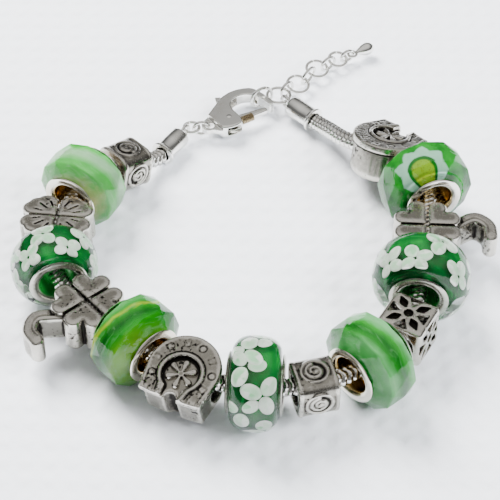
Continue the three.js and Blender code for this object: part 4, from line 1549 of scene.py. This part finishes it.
@dataclass
class HorseshoeCharm:
    """Horseshoe face with raised rims, plain nail marks and a small rosette, on a rounded body."""

    thick: float = 6.8
    back: float = 0.6
    bore: float = 2.35
    outer: float = 5.5
    face: float = 1.3

    def outline(self, outer: float, foot: float, foot_y: float) -> list[Point2]:
        """The horseshoe's edge, open towards -y."""
        return [*arc(outer, -12, 192, steps=40), (-foot - 0.5, foot_y + 0.2), (-foot + 1.8, foot_y),
                (foot - 1.8, foot_y), (foot + 0.5, foot_y + 0.2)]

    def u_line(self, radius: float, foot: Point2, z: float) -> list[Vector]:
        """A line round the inside of the shoe, down to both feet."""
        bow = [Vector((x, y, z)) for x, y in arc(radius, 225, -45, (0, -0.9), 36)]
        return [Vector((-foot[0], foot[1], z)), *bow, Vector((foot[0], foot[1], z))]

    def marks(self, top: float) -> bmesh.types.BMesh:
        """Incised marks round the face: rings and squared nail marks by turns."""
        bm = bmesh.new()
        for i in range(8):
            at = moved(0, -0.4) @ turned_by(-24 + 228 * i / 7) @ moved(4.42, 0, top - 0.04)
            if i % 2:
                join(bm, hoop(0.55, 0.15, steps=20, sides=8), at)
            else:
                corners = ((-0.5, -0.4), (0.5, -0.5), (0.5, 0.5), (-0.5, 0.4), (-0.5, -0.4))
                nail = [Vector((x, y, 0)) for x, y in corners]
                join(bm, swept(nail, round_section(0.15, 8)), at)
        for side in (-1, 1):
            foot = [(4.55, -2.4), (4.1, -4.85), (2.75, -4.95), (3.0, -3.3)]
            line = [Vector((side * x, y, top - 0.04)) for x, y in foot]
            join(bm, swept(line, round_section(0.15, 8)))
        return bm

    def build(self, number: int, place: Matrix, finishes: Finishes) -> None:
        """Casts the charm."""
        top = self.thick / 2
        bm = plate(self.outline(self.outer, 4.4, -5.2), self.face, 0.28, 3)
        bm.transform(moved(0, 0, top - self.face / 2))
        base = plate(self.outline(self.outer - 0.45, 4.0, -4.9), self.thick - 0.5, 1.1, 5)
        join(bm, base, moved(0, 0.05, -0.25))
        rim = swept(self.u_line(3.15, (1.75, -5.0), top - 0.02), round_section(0.26))
        join(bm, rim)
        hollow = plate([*arc(2.85, -60, 240, (0, -0.9), 32), (-1.2, -6), (1.2, -6)], 1.5, 0.0)
        cuts = rod(self.bore, 20)
        cuts.transform(moved(0, self.back, 0))
        join(cuts, hollow, moved(0, 0, top))
        join(cuts, self.marks(top))
        throat = rod(1.15, self.thick * 2, 24, "Z")
        throat.transform(sized(1, 1.25, 1))
        join(cuts, throat, moved(0, -5.3))
        join(cuts, swept(self.u_line(3.58, (2.35, -4.75), top + 0.02), round_section(0.15, 8)))
        shift = moved(0, -self.back)
        bm.transform(shift)
        cuts.transform(shift)
        mesh = Casting(0.142, 1).cast(bm, cuts)
        finish(f"horseshoe_cast_{number}", mesh, place, finishes.silver,
               [f"horseshoe_charm_{number}"])
        self.rosette(number, place, shift, top, finishes)

    def rosette(self, number: int, place: Matrix, shift: Matrix, top: float, finishes: Finishes) -> None:
        """Casts the six drop-shaped petals in the shoe's hollow."""
        bm = rod(0.45, 0.8, 24, "Z")
        bm.transform(moved(0, -0.9, top - 0.6))
        for k in range(6):
            petal = hull([(0.55, (1.85, 0, 0.1)), (0.34, (1.85, 0, 0.42)), (0.2, (0.5, 0, 0.1)),
                          (0.08, (0.5, 0, 0.34)), (0.55, (1.85, 0, -0.4)), (0.2, (0.5, 0, -0.4))], 16)
            join(bm, petal, moved(0, -0.9, top - 0.5) @ turned_by(30 + 60 * k))
        bm.transform(shift)
        mesh = Casting(0.08, 3, 16, 0.1).cast(bm)
        finish(f"horseshoe_rosette_{number}", mesh, place, finishes.silver)


@dataclass
class StarBead:
    """Hollow square bead with framed petals and pierced gaps on four faces."""

    size: float = 7.4
    length: float = 6.8
    bore: float = 2.6

    def build(self, place: Matrix, finishes: Finishes) -> None:
        """Casts the bead."""
        half = self.size / 2
        bm = block((self.length, self.size, self.size), 0.75, 3)
        cuts = rod(self.bore, self.size * 2)
        for k in range(4):
            face = turned_by(90 * k, "X")
            for i in range(4):
                gap = plate([(1.2, 0), (3.0, -1.15), (3.0, 1.15)], 3.0)
                join(cuts, gap, face @ moved(0, 0, half) @ turned_by(90 * i))
                dent = hull([(0.68, (2.15, 0, 0.5)), (0.6, (2.15, 0, -0.75)), (0, (0.98, 0, 0.5)),
                             (0, (1.05, 0, -0.75)), (0, (3.7, 0, 0.5)), (0, (3.5, 0, -0.75))], 16)
                join(cuts, dent, face @ moved(0, 0, half) @ turned_by(45 + 90 * i))
            join(cuts, rod(0.72, 1.1, 24, "Z"), face @ moved(0, 0, half))
        mesh = Casting(0.13, 1).cast(bm, cuts)
        finish("star_cast", mesh, place, finishes.silver, ["star_bead"])


# Findings


@dataclass
class EndCap:
    """A crimped end cap: a tube with a flared mouth and an eye at its closed end."""

    length: float = 5.8
    radius: float = 1.8
    bore: float = 1.35
    depth: float = 4.3
    eye: float = 1.0
    wire: float = 0.3

    @property
    def eye_at(self) -> float:
        """The eye's middle, from the mouth."""
        return self.length + self.eye + 0.1

    def build(self, side: str, route: Route, finishes: Finishes) -> Vector:
        """Builds a cap.

        Args:
            side: left or right.
            route: the chain's route.
            finishes: the materials.

        Returns:
            The middle of its eye, in the working frame.
        """
        r = self.radius
        bm = turned([(0.05, self.bore), (0, self.bore + 0.1), (0, r - 0.05), (0.06, r + 0.2),
                     (0.18, r + 0.32), (0.34, r + 0.33), (0.5, r + 0.2), (0.62, r + 0.04), (0.8, r),
                     (2.6, r - 0.02),
                     (self.length - 0.75, r), (self.length - 0.4, r - 0.1), (self.length - 0.12, r - 0.42),
                     (self.length, r - 0.8), (self.length, 0), (self.depth, 0), (self.depth, self.bore),
                     (0.05, self.bore)], 64)
        join(bm, hoop(self.eye, self.wire, steps=36), moved(self.eye_at) @ turned_by(90, "X"))
        mouth, end = route.stop(f"{side}_mouth").point, route.stop(f"{side}_end").point
        heading = math.degrees(math.atan2(end.y - mouth.y, end.x - mouth.x))
        place = Matrix.Translation(mouth) @ turned_by(heading)
        eye = place @ Vector((self.eye_at, 0, 0))
        finish(f"cap_{side}", plain_mesh(bm), place, finishes.plate, [f"end_cap_{side}"],
               crease=50)
        return eye


def add_ring(node: str, radius: float, wire: float, centre: Vector, heading: float, roll: float,
             finishes: Finishes) -> None:
    """Builds one split wire ring.

    Args:
        node: the CAD node it stands for.
        radius: to the middle of the wire.
        wire: the wire's radius.
        centre: its middle, in the working frame.
        heading: of its own x axis, in degrees.
        roll: about that axis, in degrees.
        finishes: the materials.
    """
    place = Matrix.Translation(centre) @ turned_by(heading) @ turned_by(roll, "X")
    bm = hoop(radius, wire, split=4)
    bm.transform(turned_by(70))
    finish(f"{node}_wire", plain_mesh(bm), place, finishes.plate, [node], crease=60)


def onward(start: Vector, step: float, heading: float) -> Vector:
    """A place a step further on in plan, at a heading in degrees."""
    a = math.radians(heading)
    return start + Vector((math.cos(a) * step, math.sin(a) * step, 0))


def pitch(radius_a: float, wire_a: float, radius_b: float, wire_b: float, clear: float = 0.3) -> float:
    """The distance between the middles of two interlocked rings."""
    return radius_a + radius_b - wire_a - wire_b - clear


@dataclass
class Clasp:
    """The lobster clasp: a claw with a forked middle, and a sprung lever on a pin."""

    thick: float = 2.6
    slot: float = 1.6
    lever_thick: float = 1.0
    pivot: Point2 = (3.5, -0.9)
    pin: float = 0.45
    clear: float = 0.3
    tail_hole: float = 0.8
    tail_thick: float = 1.0
    taper: float = 1.5

    def claw(self) -> list[Point2]:
        """The claw's outline, its tail eye at the origin and its nose towards +x."""
        return bend((-1.4, 0), [
            ((-1.2, 1.5), (0.6, 1.7)), ((5.6, 3.9),), ((9.3, 4.6), (11.4, 2.5)),
            ((12.25, 0.6), (11.95, -2.9)),
            ((11.0, -3.0),), ((11.2, -0.6), (10.5, 0.8)), ((9.3, 2.7), (6.9, 2.2)), ((5.3, 1.6), (5.2, -0.6)),
            ((5.2, -3.2), (4.0, -3.5)), ((1.2, -3.6), (-0.2, -1.2)), ((-1.2, -1.1), (-1.4, 0))], 10)

    def body(self) -> bpy.types.Mesh:
        """The claw, hollowed for the lever."""
        bm = plate(self.claw(), self.thick, 0.42, 4)
        cuts = rod(self.tail_hole, 6, 32, "Z")
        join(cuts, block((6.3, 12, self.slot)), moved(4.75))
        for side in (-1, 1):
            join(cuts, block((2.9, 6, 2)), moved(-0.5, 0, side * (1 + self.tail_thick / 2)))
            wedge = block((15, 16, 2))
            join(cuts, wedge, turned_by(side * self.taper, "Y") @ moved(7.5, 0, side * (1 + self.thick / 2)))
        return Casting(0.115, 3, 20, 0.14, Cutting.PLAIN).cast(bm, cuts)

    def rivet(self) -> bmesh.types.BMesh:
        """The lever's pin with its low heads."""
        px, py = self.pivot
        half, edge = 1.28, self.pin - 0.1
        profile = [(-half, 0), (-half, edge), (-1.2, self.pin), (1.2, self.pin), (half, edge), (half, 0)]
        bm = turned(profile, 32)
        bm.transform(moved(px, py) @ turned_by(90, "Y"))
        return bm

    def lever(self) -> bpy.types.Mesh:
        """The lever with its thumb tab and gate arm."""
        px, py = self.pivot
        outline = bend((px + 0.2, py - 1.4), [
            ((10.2, -3.3),), ((10.4, -2.4),), ((px + 1.5, py + 0.1),), ((px + 2.6, 4.6),), ((px + 1.7, 5.2),),
            ((px - 0.6, py + 1.3),), ((px - 1.6, py), (px + 0.2, py - 1.4))], 8)
        bm = plate(outline, self.lever_thick, 0.22, 3)
        hole = rod(self.pin + self.clear, 4, 32, "Z")
        hole.transform(moved(px, py))
        return Casting(0.09, 3, 20, 0.14, Cutting.PLAIN).cast(bm, hole)

    def coil(self) -> bmesh.types.BMesh:
        """The small spring seen between the fork and the gate."""
        px, py = self.pivot
        start, end = Vector((px + 1.75, py - 1.28, 0)), Vector((px + 4.0, py - 1.62, 0))
        ahead = (end - start).normalized()
        side = Vector((0, 0, 1)).cross(ahead)
        turns, steps = 8, 14
        path = []
        for i in range(turns * steps + 1):
            a = 2 * math.pi * i / steps
            at = start.lerp(end, i / (turns * steps))
            path.append(at + side * math.cos(a) * 0.62 + Vector((0, 0, 0.62 * math.sin(a))))
        return swept(path, round_section(0.12, 8), up=ahead)

    def build(self, place: Matrix, finishes: Finishes) -> None:
        """Builds the clasp in its place."""
        finish("clasp_claw", self.body(), place, finishes.plate, ["clasp_body"])
        finish("clasp_pin", plain_mesh(self.rivet()), place, finishes.plate)
        finish("clasp_gate", self.lever(), place, finishes.plate, ["clasp_lever"], body=LEVER)
        finish("clasp_spring", plain_mesh(self.coil()), place, finishes.spring, body=LEVER,
               crease=70)


@dataclass
class Extender:
    """The rings at both ends, the clasp and the extender chain with its drop."""

    left_ring: float = 1.3
    right_ring: float = 2.0
    nose_ring: float = 2.0
    wire: float = 0.3
    thin_wire: float = 0.28
    clasp_z: float = 2.15
    clasp_turn: float = 40.0
    low: float = 1.75
    links: tuple[tuple[float, float, float], ...] = (
        (1.4, 54, 90), (1.9, 36, 12), (1.7, 47, 100), (1.9, 54, 10), (1.4, 35, 96), (1.6, 35, 12),
        (1.2, 28, 95))  # radius, heading and roll of each link
    drop_heading: float = 30.0
    drop_eye: float = 0.75
    drop_wire: float = 0.25

    def drop(self) -> bmesh.types.BMesh:
        """The teardrop with its eye."""
        bm = turned([(0.68, 0), (0.7, 0.2), (0.9, 0.36), (1.3, 0.56), (1.8, 0.82), (2.3, 1.02), (2.8, 1.14),
                     (3.2, 1.15), (3.6, 1.05), (3.95, 0.86), (4.25, 0.58), (4.42, 0.3), (4.5, 0)], 48)
        join(bm, hoop(self.drop_eye, self.drop_wire, steps=32))
        return bm

    def build(self, route: Route, finishes: Finishes) -> None:
        """Builds everything between the two ends of the chain."""
        cap = EndCap()
        left_eye = cap.build("left", route, finishes)
        right_eye = cap.build("right", route, finishes)
        flat = onward(left_eye, pitch(cap.eye, cap.wire, self.left_ring, self.wire), 40)
        add_ring("ring_left_flat", self.left_ring, self.wire, flat, 40, 0, finishes)
        upright = onward(flat, pitch(self.left_ring, self.wire, self.left_ring, self.wire), -2)
        upright.z = self.clasp_z
        add_ring("ring_left_upright", self.left_ring, self.wire, upright, 6, 90, finishes)
        tail = onward(upright, self.left_ring + 0.15, 8)
        clasp_place = Matrix.Translation(tail) @ turned_by(self.clasp_turn)
        Clasp().build(clasp_place, finishes)
        nose = clasp_place @ Vector((11.75, 0.15, 0.15))
        turn = self.clasp_turn - 12
        add_ring("ring_right_upright", self.nose_ring, self.thin_wire, nose, turn, 90, finishes)
        flat = onward(right_eye, pitch(cap.eye, cap.wire, self.right_ring, self.wire), 126)
        flat.z = self.clasp_z
        add_ring("ring_right_flat", self.right_ring, self.wire, flat, 0, 0, finishes)
        self.build_links(flat, finishes)

    def build_links(self, start: Vector, finishes: Finishes) -> None:
        """Builds the extender's links, each a pitch on from the last, and the drop."""
        place = Vector((start.x, start.y, self.low))
        before = (self.right_ring, self.wire)
        for i, (radius, heading, roll) in enumerate(self.links):
            place = onward(place, pitch(*before, radius, self.thin_wire), heading)
            lift = max(0.0, radius + self.thin_wire + 0.05 - self.low) if roll > 45 else 0.0
            following = self.links[i + 1][1] if i + 1 < len(self.links) else heading
            centre = place + Vector((0, 0, lift))
            aim = (heading + following) / 2
            add_ring(f"extender_link_{i + 1}", radius, self.thin_wire, centre, aim, roll, finishes)
            before = (radius, self.thin_wire)
        place = onward(place, pitch(*before, self.drop_eye, self.drop_wire), self.drop_heading)
        finish("drop_bob", plain_mesh(self.drop()), Matrix.Translation(place) @ turned_by(self.drop_heading),
               finishes.plate, ["drop"], crease=60)


# The studio


@dataclass
class Studio:
    """The cloth, the soft lights and the camera at the photograph's angle."""

    target: tuple[float, float, float] = (-0.758, -9.527, 5.0)
    camera: tuple[float, float, float] = (-0.758, -190.1, 192.0)
    lens: float = 119.8
    sensor: float = 36.0
    cloth_side: float = 1.6

    def cloth(self) -> None:
        """Lays the cloth, a little hollowed between soft swells."""
        bm = bmesh.new()
        bmesh.ops.create_grid(bm, x_segments=160, y_segments=160, size=self.cloth_side / 2)
        for v in bm.verts:
            x, y = v.co.x * 1000, v.co.y * 1000
            swell = math.sin(x / 47 + 0.4) * math.sin(y / 61 + 1.1) + 0.6 * math.sin(x / 83 - y / 71)
            away = min(1.0, max(0.0, (math.hypot(x, y) - 60) / 80))
            v.co.z = (-0.06 - 0.15 * (1.6 + swell) * away) * MM
        cloth = as_object("cloth", bm)
        cloth.data.materials.append(WovenCloth().material())
        cloth.data.shade_smooth()

    def light(self, name: str, place: Sequence[float], size: float, watts: float, colour: Colour) -> None:
        """Adds a soft light aimed at the bracelet."""
        data = bpy.data.lights.new(name, "AREA")
        data.shape, data.size, data.energy, data.color = "DISK", size, watts, colour
        lamp = bpy.data.objects.new(name, data)
        lamp.visible_glossy = False  # the room's own glow gives the reflections
        lamp.location = place
        lamp.rotation_euler = (-Vector(place)).to_track_quat("-Z", "Y").to_euler()
        bpy.context.scene.collection.objects.link(lamp)

    def world(self) -> None:
        """Lights the room: bright above, dim near the horizon."""
        world = bpy.data.worlds.new("room")
        world.use_nodes = True
        sheet = Sheet(world.node_tree)
        direction = sheet.add("ShaderNodeTexCoord").outputs["Generated"]
        parts = sheet.add("ShaderNodeSeparateXYZ", {0: direction})
        height = sheet.between(parts.outputs[2], 0.35, 0.95)
        colour = sheet.mix(height, (0.16, 0.16, 0.16), (1.0, 0.99, 0.97))
        background = sheet.add("ShaderNodeBackground", {"Color": colour, "Strength": 0.95})
        out = sheet.add("ShaderNodeOutputWorld")
        sheet.tree.links.new(background.outputs[0], out.inputs[0])
        bpy.context.scene.world = world

    def build(self) -> None:
        """Builds the stage and sets the camera."""
        self.cloth()
        self.world()
        self.light("window", (-0.3, 0.4, 0.55), 0.45, 24.0, (1.0, 0.99, 0.97))
        self.light("fill", (0.5, -0.25, 0.5), 0.4, 12.0, (0.96, 0.98, 1.0))
        data = bpy.data.cameras.new("camera")
        data.lens, data.sensor_width = self.lens, self.sensor
        data.clip_start, data.clip_end = 0.01, 10
        camera = bpy.data.objects.new("camera", data)
        camera.location = Vector(self.camera) * MM
        aim = Vector(self.target) - Vector(self.camera)
        camera.rotation_euler = aim.to_track_quat("-Z", "Y").to_euler()
        bpy.context.scene.collection.objects.link(camera)
        bpy.context.scene.camera = camera


def main() -> None:
    """Builds the bracelet, piece by piece."""
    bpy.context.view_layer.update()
    logging.basicConfig(level=logging.INFO, format="%(message)s")
    Studio().build()
    route = Route()
    finishes = Finishes()
    log.info("chain of %.1f mm", route.length)
    SnakeChain().build(route, finishes)
    GlassBeads().build(route, finishes)
    SwirlBead().build(1, route.station("swirl_1", drop=0.35), finishes)
    SwirlBead().build(2, route.station("swirl_2", drop=0.35), finishes)
    LeafCharm().build(route.station("leaf", drop=0.15), finishes)
    CloverCharm(1).build(1, route.station("clover_1", drop=0.2), finishes)
    CloverCharm(-1).build(2, route.station("clover_2", drop=0.2), finishes)
    HorseshoeCharm().build(1, route.station("horseshoe_1", drop=0.2, roll=12), finishes)
    HorseshoeCharm().build(2, route.station("horseshoe_2", drop=0.25, roll=18), finishes)
    StarBead().build(route.station("star", drop=0.5), finishes)
    Extender().build(route, finishes)


if __name__ == "__main__":
    main()
